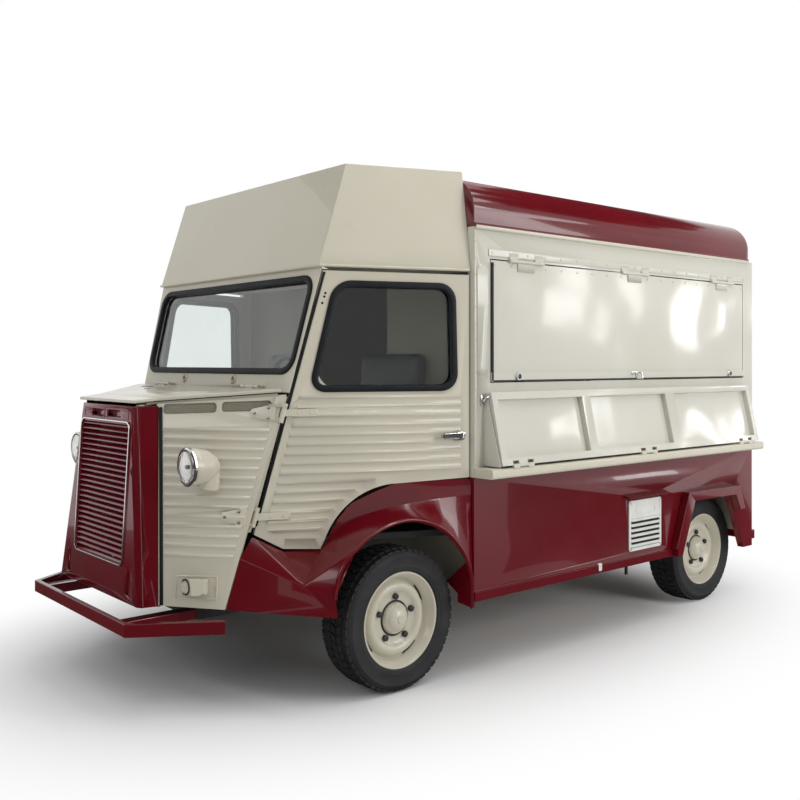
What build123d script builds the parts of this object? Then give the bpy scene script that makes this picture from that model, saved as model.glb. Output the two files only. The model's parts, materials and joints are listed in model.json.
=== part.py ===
from build123d import *
import os
from math import cos, radians, sin

os.makedirs("parts", exist_ok=True)

# Millimetres, Z up, the nose towards -Y and the serving side towards +X.
# Stations along the van are measured back from the front axle and moved by y().
FRONT_AXLE_Y = -888.0
WHEELBASE = 2460.0
AXLE_Z = 316.0

# Running clearances
GAP = 6.0          # round every moving panel
PIN_GAP = 0.5      # between a pin and its bore
KNUCKLE_GAP = 0.5  # between neighbouring hinge knuckles
GLASS_GAP = 0.3    # round a pane

# Wheels
TYRE_R = 316.0
TYRE_HALF = 97.0
SEAT_R = 212.0
RIM_HALF = 86.0
SPINDLE_R = 28.0

# Body box: the tail wall clears the rear tyres, the roof stands on the sides
BODY_HALF = 1004.0
WALL = 40.0
REAR_WALL = 30.0
TYRE_GAP = 9.0
BODY_FRONT = 345.0
BODY_REAR = WHEELBASE + TYRE_R + TYRE_GAP + REAR_WALL
SILL_Z = 362.0
TAIL_Z = 313.0
BELT_Z = 926.0
LEDGE_TOP = 970.0
LEDGE_OUT = 115.0
EAVES_Z = 2072.0
ROOF_RISE = 238.0
ROOF_WALL = 35.0
ROOF_R = 0.69 * ROOF_RISE
TAIL_R = 0.25 * ROOF_RISE
ATTIC_R = 0.55 * ROOF_RISE
FRONT_TRACK_HALF = BODY_HALF - 194
REAR_TRACK_HALF = BODY_HALF - 215
KINGPIN_X = FRONT_TRACK_HALF - 70
CUT_X0 = BODY_HALF - WALL - 20
CUT_X1 = BODY_HALF + 80

# Ladder frame and floors
RAIL_Z0 = 352.0
RAIL_Z1 = 400.0
RAIL_X0 = 380.0
RAIL_X1 = 440.0
LOAD_FLOOR_T = 30.0
CAB_FLOOR_Z = 660.0
CAB_FLOOR_T = 30.0
BULKHEAD_S = 400.0
BULKHEAD_T = 30.0

# Cab: the door line in plan, and the raked front line in elevation
DOOR_LINE_S = -334.0
DOOR_LINE_X = BODY_HALF - 271
DOOR_SLOPE = 0.3767
RAKE = 0.2765
DOOR_T = 35.0
DOOR_TOP_Z = 1850.0
DOOR_FOOT_Z = 724.0
SIGN_Z0 = 1866.0
SIGN_Z1 = EAVES_Z + 260
SIGN_WALL = 30.0
PANEL_T = 28.0
NOSE_T = 20.0

# Pressed beads, the same on doors and nose
BEAD_PITCH = 40.5
BEAD_W = 19.0
BEAD_H = 6.0

# Serving side
HATCH = dict(s0=BODY_FRONT + 112, s1=BODY_REAR - 115, z0=1363.0, z1=1926.0, t=30.0)
SHELF = dict(s0=BODY_FRONT + 73, s1=BODY_REAR - 125, height=340.0, t=38.0, lean=12.3)
VENT = dict(s0=WHEELBASE - 936, s1=WHEELBASE - 637, z0=436.0, z1=708.0)


def y(s):
    return FRONT_AXLE_Y + s


def block(x0, x1, s0, s1, z0, z1):
    """A box from its limits, stations measured from the front axle."""
    middle = ((x0 + x1) / 2, (y(s0) + y(s1)) / 2, (z0 + z1) / 2)
    return Pos(*middle) * Box(x1 - x0, s1 - s0, z1 - z0)


def both(shape):
    """The piece and its mirror image, as one list."""
    return [shape, mirror(shape, about=Plane.YZ)]


def side_prism(points, x0, x1):
    """A prism across the van from a side outline of (station, height)."""
    outline = Polyline([(x0, y(s), z) for s, z in points], close=True)
    return extrude(make_face(outline), amount=x1 - x0, dir=(1, 0, 0))


def plan_prism(points, z0, z1):
    """An upright prism from a plan outline of (x, station)."""
    outline = Polyline([(x, y(s), z0) for x, s in points], close=True)
    return extrude(make_face(outline), amount=z1 - z0, dir=(0, 0, 1))


def ruled(lower, z0, upper, z1):
    """A solid between two plan outlines at two heights."""
    sections = [
        make_face(Polyline([(x, y(s), z) for x, s in points], close=True))
        for points, z in ((lower, z0), (upper, z1))
    ]
    return loft(sections, ruled=True)


def rod(start, end, radius):
    """A round bar between two points."""
    start, end = Vector(start), Vector(end)
    plane = Plane(origin=start, z_dir=end - start)
    return extrude(plane * Circle(radius), amount=(end - start).length)


def knuckles(centre, axis, half, outer, radius):
    """A three-knuckle hinge: the moving barrel, and the two fixed ones."""
    centre = Vector(centre)
    along = Vector(axis).normalized()
    moving = rod(centre - along * half, centre + along * half, radius)
    fixed = [
        rod(centre + along * (side * (half + KNUCKLE_GAP)), centre + along * (side * outer), radius)
        for side in (-1, 1)
    ]
    return moving, fixed


def panel(plane, points, radius, w0, w1):
    """A plate on a plane, with rounded corners, between two offsets."""
    outline = make_face(FilletPolyline(*points, radius=radius, close=True))
    return plane * (Pos(0, 0, w0) * extrude(outline, amount=w1 - w0))


def beads(plane, outline, inset, rows, u0, u1):
    """Pressed beads: trapezoid bars trimmed to an inset copy of the panel."""
    profile = [(-BEAD_W / 2, 0), (-BEAD_W / 4, BEAD_H), (BEAD_W / 4, BEAD_H), (BEAD_W / 2, 0)]
    trimmed = extrude(offset(outline, -inset), amount=BEAD_H + 1)
    bars = []
    for row in rows:
        section = make_face(Polyline([(u0, row + v, w) for v, w in profile], close=True))
        bars.append(extrude(section, amount=u1 - u0, dir=(1, 0, 0)) & trimmed)
    return [plane * bar for bar in bars]


def save(name, *pieces):
    """Write one node, its solids kept apart where they do not touch."""
    solids = []
    for piece in pieces:
        solids.extend(piece.solids())
    export_step(Compound(children=solids), f"parts/{name}.step")


# Wheels: a steel rim with its domed cap, and the tyre on its seat
def wheel_part(profile, x, s, side):
    face = make_face(Polyline([(x_, r, 0) for x_, r in profile], close=True))
    solid = revolve(face, axis=Axis.X)
    if side < 0:
        solid = mirror(solid, about=Plane.YZ)
    return Pos(side * x, y(s), AXLE_Z) * solid


HUB_FACE = 20.0
HUB_DEPTH = 60.0
DISC_BACK = 36.0
DISC_FACE = 50.0
CAP_TOP = 86.0
rim_profile = [
    (CAP_TOP, 0), (CAP_TOP, 58), (CAP_TOP - 10, 74), (DISC_FACE, 74), (DISC_FACE, SEAT_R - 10),
    (RIM_HALF, SEAT_R - 10), (RIM_HALF, SEAT_R), (-RIM_HALF, SEAT_R), (-RIM_HALF, SEAT_R - 10),
    (DISC_BACK, SEAT_R - 10), (DISC_BACK, 70), (HUB_FACE, 70), (HUB_FACE, SPINDLE_R + PIN_GAP),
    (HUB_DEPTH, SPINDLE_R + PIN_GAP), (HUB_DEPTH, 0),
]
tyre_profile = [
    (-RIM_HALF, SEAT_R), (RIM_HALF, SEAT_R), (TYRE_HALF, SEAT_R + 12), (TYRE_HALF, TYRE_R - 34),
    (TYRE_HALF - 18, TYRE_R), (18 - TYRE_HALF, TYRE_R), (-TYRE_HALF, TYRE_R - 34),
    (-TYRE_HALF, SEAT_R + 12),
]
for name, x, s, side in (
    ("front_left", FRONT_TRACK_HALF, 0, 1),
    ("front_right", FRONT_TRACK_HALF, 0, -1),
    ("rear_left", REAR_TRACK_HALF, WHEELBASE, 1),
    ("rear_right", REAR_TRACK_HALF, WHEELBASE, -1),
):
    save(f"rim_{name}", wheel_part(rim_profile, x, s, side))
    save(f"tyre_{name}", wheel_part(tyre_profile, x, s, side))

# Front axle with a fork at each end, and the knuckle that turns in it
FORK_R = 34.0
KINGPIN_R = 14.0
LUG_Z = (236.0, 260.0, 372.0, 396.0)
AXLE_HALF_W = 34.0
FORK_X = KINGPIN_X - 100
front_beam = block(-FORK_X, FORK_X, -AXLE_HALF_W, AXLE_HALF_W, 282, RAIL_Z0)
fork = block(FORK_X - 24, FORK_X + 24, -AXLE_HALF_W, AXLE_HALF_W, LUG_Z[0], LUG_Z[3])
for z0, z1 in (LUG_Z[:2], LUG_Z[2:]):
    fork += block(FORK_X, KINGPIN_X, -FORK_R, FORK_R, z0, z1)
    fork += rod((KINGPIN_X, y(0), z0), (KINGPIN_X, y(0), z1), FORK_R)
fork -= rod((KINGPIN_X, y(0), 200), (KINGPIN_X, y(0), 420), KINGPIN_R + PIN_GAP)
save("front_axle", front_beam + both(fork))

knuckle = rod((KINGPIN_X, y(0), LUG_Z[0]), (KINGPIN_X, y(0), LUG_Z[3]), KINGPIN_R)
knuckle += rod((KINGPIN_X, y(0), LUG_Z[1] + GAP), (KINGPIN_X, y(0), LUG_Z[2] - GAP), FORK_R)
spindle_end = FRONT_TRACK_HALF + HUB_DEPTH - 2
knuckle += rod((KINGPIN_X, y(0), AXLE_Z), (spindle_end, y(0), AXLE_Z), SPINDLE_R)
save("knuckle_left", knuckle)
save("knuckle_right", mirror(knuckle, about=Plane.YZ))

rear_end = REAR_TRACK_HALF + HUB_DEPTH - 2
beam_half = REAR_TRACK_HALF - 139
rear_beam = block(-beam_half, beam_half, WHEELBASE - AXLE_HALF_W, WHEELBASE + AXLE_HALF_W, 280, RAIL_Z0)
rear_beam += rod((-rear_end, y(WHEELBASE), AXLE_Z), (rear_end, y(WHEELBASE), AXLE_Z), SPINDLE_R)
save("rear_axle", rear_beam)

# Ladder frame: two rails, and cross members butted between them
BUMPER_S = -1115.0
RAIL_FRONT = -760.0
RAIL_REAR = BODY_REAR + 15
rail = block(RAIL_X0, RAIL_X1, RAIL_FRONT, RAIL_REAR, RAIL_Z0, RAIL_Z1)
save("chassis_rails", *both(rail))
cross = [
    block(-RAIL_X0, RAIL_X0, s - 35, s + 35, RAIL_Z0, RAIL_Z1)
    for s in (-725, -380, 440, 0.6 * WHEELBASE, WHEELBASE - 80, BODY_REAR - 50)
]
save("chassis_crossmembers", *cross)
engine = block(-230, 230, -840, -340, RAIL_Z1, 1080)
save("engine_block", engine)


# Cab side plane: u runs back along the door, v is the height, w points out
def unit(*v):
    return Vector(*v).normalized()


DOOR_U = unit(DOOR_SLOPE, 1, 0)
DOOR_W = unit(1, -DOOR_SLOPE, 0)
DOOR_PLANE = Plane(origin=(DOOR_LINE_X, y(DOOR_LINE_S), 0), x_dir=DOOR_U, z_dir=DOOR_W)
DOOR_REAR_U = (BODY_FRONT - 12 - DOOR_LINE_S) / DOOR_U.Y


def door_x(s):
    """Half width of the cab at a station, over the doors."""
    return DOOR_LINE_X + DOOR_SLOPE * (s - DOOR_LINE_S)


def rake_u(z):
    """Where the raked front line of the cab stands on the door plane."""
    return 16 - RAKE * (1851 - z)


def door_outline(grow):
    """The door's outline, grown by a clearance."""
    points = [
        (rake_u(DOOR_TOP_Z) + GAP, DOOR_TOP_Z), (DOOR_REAR_U, DOOR_TOP_Z), (DOOR_REAR_U, 928),
        (353, 914),
    ]
    foot = [(9, 646), (-155, 657), (-280, DOOR_FOOT_Z), points[0]]
    edge = Polyline(points) + ThreePointArc((353, 914), (144, 840), (31, 690))
    edge += Polyline([(31, 690)] + foot)
    face = make_face(edge)
    return offset(face, grow, kind=Kind.INTERSECTION) if grow else face


DOOR_ROWS = [1300 - BEAD_PITCH * i for i in range(16)]
outline = door_outline(0)


def door_window(inset):
    """The door window's corners, drawn in by a clearance."""
    z0, z1 = 1340 + inset, 1792 - inset
    return [(80 + inset, z1), (628 - inset, z1), (640 - inset, z0), (-26 + 1.6 * inset, z0)]


window_r = [55, 55, 60, 85]
door = DOOR_PLANE * extrude(outline, amount=-DOOR_T)
door = door + beads(DOOR_PLANE, outline, 42, DOOR_ROWS, -300, 760)
door -= panel(DOOR_PLANE, door_window(0), window_r, -60, 20)

# Strap hinges stand off the door's front edge, on one raked axis
HINGE_R = 11.0
HINGE_OUT = 12.0
HINGE_Z = (1236.0, 800.0)
RAKE_DIR = unit(RAKE * DOOR_U.X, RAKE * DOOR_U.Y, 1)


def hinge_point(z):
    return DOOR_PLANE.from_local_coords(Vector(rake_u(z) - 4, z, HINGE_OUT))


door_knuckles = []
frame_knuckles = []
for z in HINGE_Z:
    strap = [(rake_u(z) - 4, z - 14), (rake_u(z) + 150, z - 16), (rake_u(z) + 150, z + 16)]
    strap += [(rake_u(z) - 4, z + 14)]
    door += panel(DOOR_PLANE, strap, [0.5, 8, 8, 0.5], 0, HINGE_OUT + 2)
    moving, fixed = knuckles(hinge_point(z), RAKE_DIR, 22, 42, HINGE_R)
    door_knuckles.append(moving)
    frame_knuckles.extend(fixed)
door += door_knuckles
save("door_left", door)
save("door_right", mirror(door, about=Plane.YZ))

door_glass = panel(DOOR_PLANE, door_window(GLASS_GAP), window_r, -22, -16)
save("door_left_glass", door_glass)
save("door_right_glass", mirror(door_glass, about=Plane.YZ))

lever = panel(DOOR_PLANE, [(566, 1110), (676, 1106), (676, 1136), (566, 1130)], 9, 24, 36)
lever += panel(DOOR_PLANE, [(640, 1098), (686, 1098), (686, 1144), (640, 1144)], 22, 0, 26)
save("door_left_handle", lever - door)
save("door_right_handle", mirror(lever - door, about=Plane.YZ))

# What the doors sweep in standing still: cut from every fixed neighbour
door_room = DOOR_PLANE * (Pos(0, 0, -DOOR_T - 12) * extrude(door_outline(GAP), amount=DOOR_T + 42))

# Windscreen panel: the raked front of the cab, its pane and the wiper holes
FRONT_UP = unit(0, RAKE * DOOR_U.Y, 1)
FRONT_OUT = unit(0, -1, RAKE * DOOR_U.Y)
PANEL_S = DOOR_LINE_S + rake_u(SIGN_Z0) * DOOR_U.Y
FRONT_PLANE = Plane(origin=(0, y(PANEL_S), SIGN_Z0), x_dir=(1, 0, 0), z_dir=FRONT_OUT)
STRETCH = 1 / FRONT_UP.Z


def front_uv(x, z):
    """A point on the windscreen panel from its x and height."""
    return (x, (z - SIGN_Z0) * STRETCH)


PANEL_FOOT_Z = 1322.0
SCUTTLE_Z = 1400.0
corner = DOOR_LINE_X + rake_u(SIGN_Z0) * DOOR_U.X
foot_half = DOOR_LINE_X + rake_u(PANEL_FOOT_Z) * DOOR_U.X
scuttle_half = DOOR_LINE_X + rake_u(SCUTTLE_Z) * DOOR_U.X
surround = panel(
    FRONT_PLANE,
    [front_uv(-corner, SIGN_Z0), front_uv(corner, SIGN_Z0),
     front_uv(scuttle_half, SCUTTLE_Z), front_uv(-scuttle_half, SCUTTLE_Z)],
    0, -PANEL_T, 0,
)
SCREEN_TOP = dict(half=corner - 60, z=1812.0)
SCREEN_FOOT = dict(half=scuttle_half - 40, z=1421.0)


def screen_outline(inset):
    """The windscreen's four corners, drawn in by a clearance."""
    top, foot = SCREEN_TOP["half"] - inset, SCREEN_FOOT["half"] - inset
    top_z, foot_z = SCREEN_TOP["z"] - inset, SCREEN_FOOT["z"] + inset
    return [front_uv(-top, top_z), front_uv(top, top_z), front_uv(foot, foot_z), front_uv(-foot, foot_z)]


surround -= panel(FRONT_PLANE, screen_outline(0), 62, -60, 20)
surround -= both(door_room)
save("windscreen_frame", surround)
save("windscreen_glass", panel(FRONT_PLANE, screen_outline(GLASS_GAP), 62, -20, -14))

WIPER_R = 11.0
WIPER_X = (-255.0, 215.0)
WIPER_Z = 1372.0
scuttle = panel(
    FRONT_PLANE,
    [front_uv(-scuttle_half, SCUTTLE_Z), front_uv(scuttle_half, SCUTTLE_Z),
     front_uv(foot_half, PANEL_FOOT_Z), front_uv(-foot_half, PANEL_FOOT_Z)],
    0, -PANEL_T, 0,
)
scuttle -= both(door_room)
for x in WIPER_X:
    hole = Pos(*front_uv(x, WIPER_Z), -PANEL_T - 1) * Cylinder(
        WIPER_R, PANEL_T + 2, align=(Align.CENTER, Align.CENTER, Align.MIN)
    )
    scuttle -= FRONT_PLANE * hole

# Nose: flared corrugated cheeks from the cowl back to the doors
NOSE_TF = Vector(300, y(-876), 1280)
NOSE_TR = Vector(DOOR_LINE_X - 49, y(-468), 1320)
NOSE_BF = Vector(440, y(-942), 445)
NOSE_OUT = ((NOSE_BF - NOSE_TF).cross(NOSE_TR - NOSE_TF)).normalized()
NOSE_U = Vector(0, 0, 1).cross(NOSE_OUT).normalized()
NOSE_PLANE = Plane(origin=NOSE_TF, x_dir=NOSE_U, z_dir=NOSE_OUT)


def nose_uv(x, s, z):
    """A point of the van dropped on to the nose plane."""
    local = NOSE_PLANE.to_local_coords(Vector(x, y(s), z))
    return (local.X, local.Y)


cheek_points = [
    nose_uv(300, -876, 1276), nose_uv(DOOR_LINE_X - 49, -468, 1314), nose_uv(DOOR_LINE_X - 94, -740, 433),
    nose_uv(440, -942, 445),
]
cheek_outline = make_face(Polyline(cheek_points, close=True))
cheek = NOSE_PLANE * extrude(cheek_outline, amount=-NOSE_T)
NOSE_ROWS = [-118 - BEAD_PITCH * i for i in range(14)]
cheek = cheek + beads(NOSE_PLANE, cheek_outline, 26, NOSE_ROWS, -150, 600)
cheek_long = cheek_points[1][0]
for u0, u1, v0, v1 in ((0.053, 0.468, -52, -8), (0.507, 0.892, -42, 2)):
    u0, u1 = u0 * cheek_long, u1 * cheek_long
    slot = [(u0, v0), (u1, v0 + 8), (u1, v1 + 8), (u0, v1)]
    cheek -= panel(NOSE_PLANE, slot, 16, -60, 20)
cheek -= door_room
knuckle_plates = []
for z in HINGE_Z:
    centre = hinge_point(z)
    u, v = nose_uv(centre.X, centre.Y - FRONT_AXLE_Y, centre.Z)
    foot = NOSE_PLANE.from_local_coords(Vector(u - 70, v, 4))
    cheek -= rod(centre - RAKE_DIR * 23, centre + RAKE_DIR * 23, HINGE_R + GAP)
    for side in (-1, 1):
        lift = RAKE_DIR * (side * 32)
        knuckle_plates.append(rod(foot + lift, centre + lift, 6))
cheek = cheek + knuckle_plates + frame_knuckles
save("nose_sides", *both(cheek))

# Bonnet: one pressed lid, hinged along the foot of the windscreen
BONNET_T = 14.0
BONNET_SLOPE = 0.098
BONNET_REAR = -486.0
BONNET_FRONT = -978.0


def bonnet_z(s):
    return 1286 + BONNET_SLOPE * (s + 876)


LID_HALF = DOOR_LINE_X - 57
lid_plan = [(-288, BONNET_FRONT), (288, BONNET_FRONT), (312, -880), (LID_HALF, BONNET_REAR)]
lid_plan += [(-LID_HALF, BONNET_REAR), (-312, -880)]
lid = plan_prism(lid_plan, 1200, 1500)
lid_band = [(BONNET_FRONT - 20, bonnet_z(BONNET_FRONT - 20)), (BONNET_REAR + 20, bonnet_z(BONNET_REAR + 20))]
lid_band += [(s, z + BONNET_T) for s, z in reversed(lid_band)]
lid &= side_prism(lid_band, -800, 800)
HINGE_S = BONNET_REAR + 4
LID_AXIS_Z = bonnet_z(BONNET_REAR) + BONNET_T + 4
LID_HINGES = (256 - LID_HALF, LID_HALF - 256)
for x in LID_HINGES:
    moving, fixed = knuckles((x, y(HINGE_S), LID_AXIS_Z), (1, 0, 0), 40, 72, 9)
    for side, barrel in zip((-1, 1), fixed):
        x0, x1 = sorted((x + side * (40 + KNUCKLE_GAP), x + side * 72))
        scuttle += barrel + block(x0, x1, HINGE_S, HINGE_S + 40, LID_AXIS_Z - 4, LID_AXIS_Z + 5)
        lid -= rod((x0 - 3, y(HINGE_S), LID_AXIS_Z), (x1 + 3, y(HINGE_S), LID_AXIS_Z), 9 + GAP)
    lid += moving
save("bonnet", lid)
save("scuttle_panel", scuttle)

# Cowl round the grille, flared towards the bumper, with pressed recesses
COWL_Z0 = 440.0
COWL_Z1 = 1264.0
COWL_WALL = 18.0
cowl_half = [(446, -930), (430, -1005), (404, -1022)]
cowl_top_half = [(312, -864), (283, -955), (258, -972)]
cowl_foot = [(-x, s) for x, s in cowl_half] + cowl_half[::-1]
cowl_head = [(-x, s) for x, s in cowl_top_half] + cowl_top_half[::-1]
cowl = ruled(cowl_foot, COWL_Z0, cowl_head, COWL_Z1)
hollow_foot = [(-418, -900), (-406, -1004), (406, -1004), (418, -900)]
hollow_head = [(-281, -850), (-259, -954), (259, -954), (281, -850)]
cowl -= ruled(hollow_foot, COWL_Z0 - 1, hollow_head, COWL_Z1 - COWL_WALL)
cowl -= both(cheek)
COWL_FACE = Plane(
    origin=(0, y(-972), COWL_Z1), x_dir=(1, 0, 0),
    z_dir=unit(0, -(COWL_Z1 - COWL_Z0), 50),
)
GRILLE_HALF = 252.0
GRILLE_V = (-678.0, -74.0)
grille_hole = [(-GRILLE_HALF, GRILLE_V[0]), (GRILLE_HALF, GRILLE_V[0])]
grille_hole += [(GRILLE_HALF, GRILLE_V[1]), (-GRILLE_HALF, GRILLE_V[1])]
cowl -= panel(COWL_FACE, grille_hole, 30, -60, 40)
for x0, x1, v0, v1 in (
    (-150, -20, -52, -26), (20, 150, -52, -26), (-330, -302, -790, -690), (302, 330, -790, -690),
):
    recess = [(x0, v0), (x1, v0), (x1, v1), (x0, v1)]
    cowl -= panel(COWL_FACE, recess, 8, -7, 10)
save("grille_cowl", cowl)

SLAT_COUNT = 25
slat_pitch = (GRILLE_V[1] - GRILLE_V[0]) / SLAT_COUNT
frame_in = [(-GRILLE_HALF + 8, GRILLE_V[0] + 8), (GRILLE_HALF - 8, GRILLE_V[0] + 8)]
frame_in += [(GRILLE_HALF - 8, GRILLE_V[1] - 8), (-GRILLE_HALF + 8, GRILLE_V[1] - 8)]
grille = panel(COWL_FACE, grille_hole, 30, -COWL_WALL, 0)
grille -= panel(COWL_FACE, frame_in, 24, -60, 40)
inside = panel(COWL_FACE, frame_in, 24, -COWL_WALL, 0)
for i in range(SLAT_COUNT):
    v = GRILLE_V[0] + slat_pitch * (i + 0.5)
    bar = make_face(Polyline(
        [(-GRILLE_HALF, v - 9, 0), (-GRILLE_HALF, v - 5, 0), (-GRILLE_HALF, v + 9, -14),
         (-GRILLE_HALF, v + 6, -17)], close=True))
    grille += COWL_FACE * extrude(bar, amount=2 * GRILLE_HALF, dir=(1, 0, 0)) & inside
save("grille_slats", grille)

# Head lamps on stalks, and the turn lamps on their wedges
LAMP = dict(x=DOOR_LINE_X - 168, s=-868.0, z=1023.0, r=76.0, deep=142.0)
lamp_axis = Axis((LAMP["x"], y(LAMP["s"]), LAMP["z"]), (0, 1, 0))


def turned(points):
    """A solid turned about the lamp axis from (depth, radius) points."""
    outline = [(LAMP["x"] + r, y(LAMP["s"] + d), LAMP["z"]) for d, r in points]
    return revolve(make_face(Polyline(outline, close=True)), axis=lamp_axis)


bowl = turned([(0, 0), (0, 76), (30, 76), (84, 64), (122, 38), (138, 0)])
lamp_lens = turned([(0, 0), (0, 68), (-14, 56), (-22, 30), (-22, 0)])
lamp_ring = turned([(0, 68.5), (0, 81), (-10, 81), (-14, 72), (-2, 68.5)])
u, v = nose_uv(LAMP["x"] - 45, -730, 940)
stalk = panel(NOSE_PLANE, [(u - 30, v - 30), (u + 34, v - 34), (u + 34, v + 96), (u - 30, v + 90)], 14, 0, 92)
stalk &= rod((LAMP["x"] - 60, y(LAMP["s"] + 90), 850), (LAMP["x"] - 40, y(LAMP["s"] + 90), 1050), 75)
stalk -= cheek
bowl = bowl + stalk
bowl -= cheek
u, v = nose_uv(DOOR_LINE_X - 188, -815, 522)
pod = panel(NOSE_PLANE, [(u - 62, v - 34), (u + 46, v - 34), (u + 46, v + 34), (u - 62, v + 34)], 12, 0, 62)
pod_tip = NOSE_PLANE.from_local_coords(Vector(u - 40, v, 34))
pod -= Pos(pod_tip.X, pod_tip.Y - 150, pod_tip.Z) * Box(400, 300, 300)
pod -= cheek
turn_lens = Pos(pod_tip.X, pod_tip.Y, pod_tip.Z) * Rot(90, 0, 0) * Cone(
    27, 16, 24, align=(Align.CENTER, Align.CENTER, Align.MIN)
)
save("lamp_housings", *both(bowl), *both(pod))
save("lamp_lenses", *both(lamp_lens), *both(turn_lens))
trim_out = [(x * 1.035, v + (6 if v > -300 else -6)) for x, v in grille_hole]
grille_ring = panel(COWL_FACE, trim_out, 34, 0, 7) - panel(COWL_FACE, grille_hole, 30, -10, 20)
save("bright_trim", grille_ring, *both(lamp_ring))

# Front wings: an arched cheek below the door, and the skirt back to the nose
LIP_FRONT = (BODY_HALF - 64, -388.0)
LIP_REAR = (BODY_HALF - 4, BODY_FRONT)
ARCH_S = -30.0
ARCH_Z = 386.0
ARCH_R = 355.0
SKIRT_T = 22.0
wing_side = [
    (LIP_REAR[1], 326), (LIP_REAR[1], 920), (-4, 906), (-112, 878), (-199, 830), (-262, 762),
    (-304, 686), (-328, 636), (LIP_FRONT[1], 600), (LIP_FRONT[1], 405),
]
wing_plan = [
    LIP_FRONT, LIP_REAR, (BODY_HALF - 79, LIP_REAR[1]), (BODY_HALF - 79, 200), (door_x(0) - 19, 0),
    (door_x(-250) - 5, -250), (door_x(LIP_FRONT[1]) - 13, LIP_FRONT[1]),
]
wing = side_prism(wing_side, DOOR_LINE_X - 133, BODY_HALF + 56) & plan_prism(wing_plan, 300, 1000)
shoulder = Plane(
    origin=(door_x(0) + 7, y(0), 908),
    z_dir=(Vector(88, 0, -92).cross(Vector(128, 335, 10)) * -1).normalized(),
)
if shoulder.z_dir.Z < 0:
    shoulder = Plane(origin=shoulder.origin, z_dir=shoulder.z_dir * -1)
wing = split(wing, bisect_by=shoulder, keep=Keep.BOTTOM)
arch = rod((RAIL_X1, y(ARCH_S), ARCH_Z), (CUT_X1, y(ARCH_S), ARCH_Z), ARCH_R)
wing -= arch + block(RAIL_X1, CUT_X1, ARCH_S - ARCH_R, ARCH_S + ARCH_R, 200, ARCH_Z)

SKIRT_TOE = (DOOR_LINE_X - 97, -738.0)
skirt_plan = [SKIRT_TOE, LIP_FRONT, (door_x(LIP_FRONT[1]) - 9, LIP_FRONT[1])]
skirt_top = Plane(
    origin=(SKIRT_TOE[0], y(SKIRT_TOE[1]), 640),
    z_dir=(Vector(304, 350, -172).cross(Vector(68, 350, 2))).normalized(),
)
skirt = plan_prism(skirt_plan, 405, 900)
skirt = split(skirt, bisect_by=skirt_top, keep=Keep.BOTTOM)
inward = Vector(350, -304, 0).normalized() * -SKIRT_T
hollow = plan_prism(skirt_plan, 300, 900)
hollow = split(hollow, bisect_by=skirt_top, keep=Keep.BOTTOM)
skirt -= Pos(inward.X, inward.Y, -SKIRT_T - 6) * hollow
wing = wing + skirt
wing -= door_room
wing -= cheek
wing -= door
save("front_wings", *both(wing))

# Body sides below the belt, with the angular rear arch and the sill fold
ARCH_CUT = [(WHEELBASE + s, z) for s, z in ((-500, 290), (-354, 660), (90, 656), (262, 290))]
TAIL_S = WHEELBASE + 180
SILL_END = WHEELBASE - 530
side_points = [
    (BODY_FRONT, SILL_Z), (BODY_FRONT, BELT_Z), (BODY_REAR, BELT_Z), (BODY_REAR, TAIL_Z),
    (TAIL_S, TAIL_Z), (TAIL_S, SILL_Z),
]
lower = side_prism(side_points, BODY_HALF - WALL, BODY_HALF)
lower += block(BODY_HALF, BODY_HALF + 9, BODY_FRONT, SILL_END, SILL_Z, SILL_Z + 43)
lower -= side_prism(ARCH_CUT, CUT_X0, CUT_X1)
lower_right = mirror(lower, about=Plane.YZ)
vent_hole = block(BODY_HALF - 60, BODY_HALF + 20, VENT["s0"], VENT["s1"], VENT["z0"], VENT["z1"])
HOOD_Z = VENT["z1"] + 26
HOOD_S = VENT["s0"] - 49
hood_line = [(0, 14), (44, -4), (44, -8), (0, 0)]
hood = extrude(
    make_face(Polyline([(BODY_HALF + x, y(HOOD_S), HOOD_Z + z) for x, z in hood_line], close=True)),
    amount=375, dir=(0, 1, 0),
)
save("side_lower_left", (lower - vent_hole) + hood)
save("side_lower_right", lower_right)

LOUVRE_COUNT = 7
VENT_RIM = 20.0
vent_rim = block(BODY_HALF - 26, BODY_HALF + 6, VENT["s0"], VENT["s1"], VENT["z0"], VENT["z1"])
vent = vent_rim - block(CUT_X0, CUT_X1, VENT["s0"] + VENT_RIM, VENT["s1"] - VENT_RIM,
                        VENT["z0"] + VENT_RIM, VENT["z1"] - VENT_RIM)
louvre_pitch = (VENT["z1"] - VENT["z0"] - 40) / LOUVRE_COUNT
for i in range(LOUVRE_COUNT):
    z = VENT["z0"] + 20 + louvre_pitch * (i + 0.5)
    blade = [(BODY_HALF + 4, z - 15), (BODY_HALF + 4, z - 11), (BODY_HALF - 22, z + 14), (BODY_HALF - 22, z + 10)]
    face = make_face(Polyline([(x, y(VENT["s0"] + 20), z_) for x, z_ in blade], close=True))
    vent += extrude(face, amount=VENT["s1"] - VENT["s0"] - 40, dir=(0, 1, 0))
save("side_vent", vent)

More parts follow.
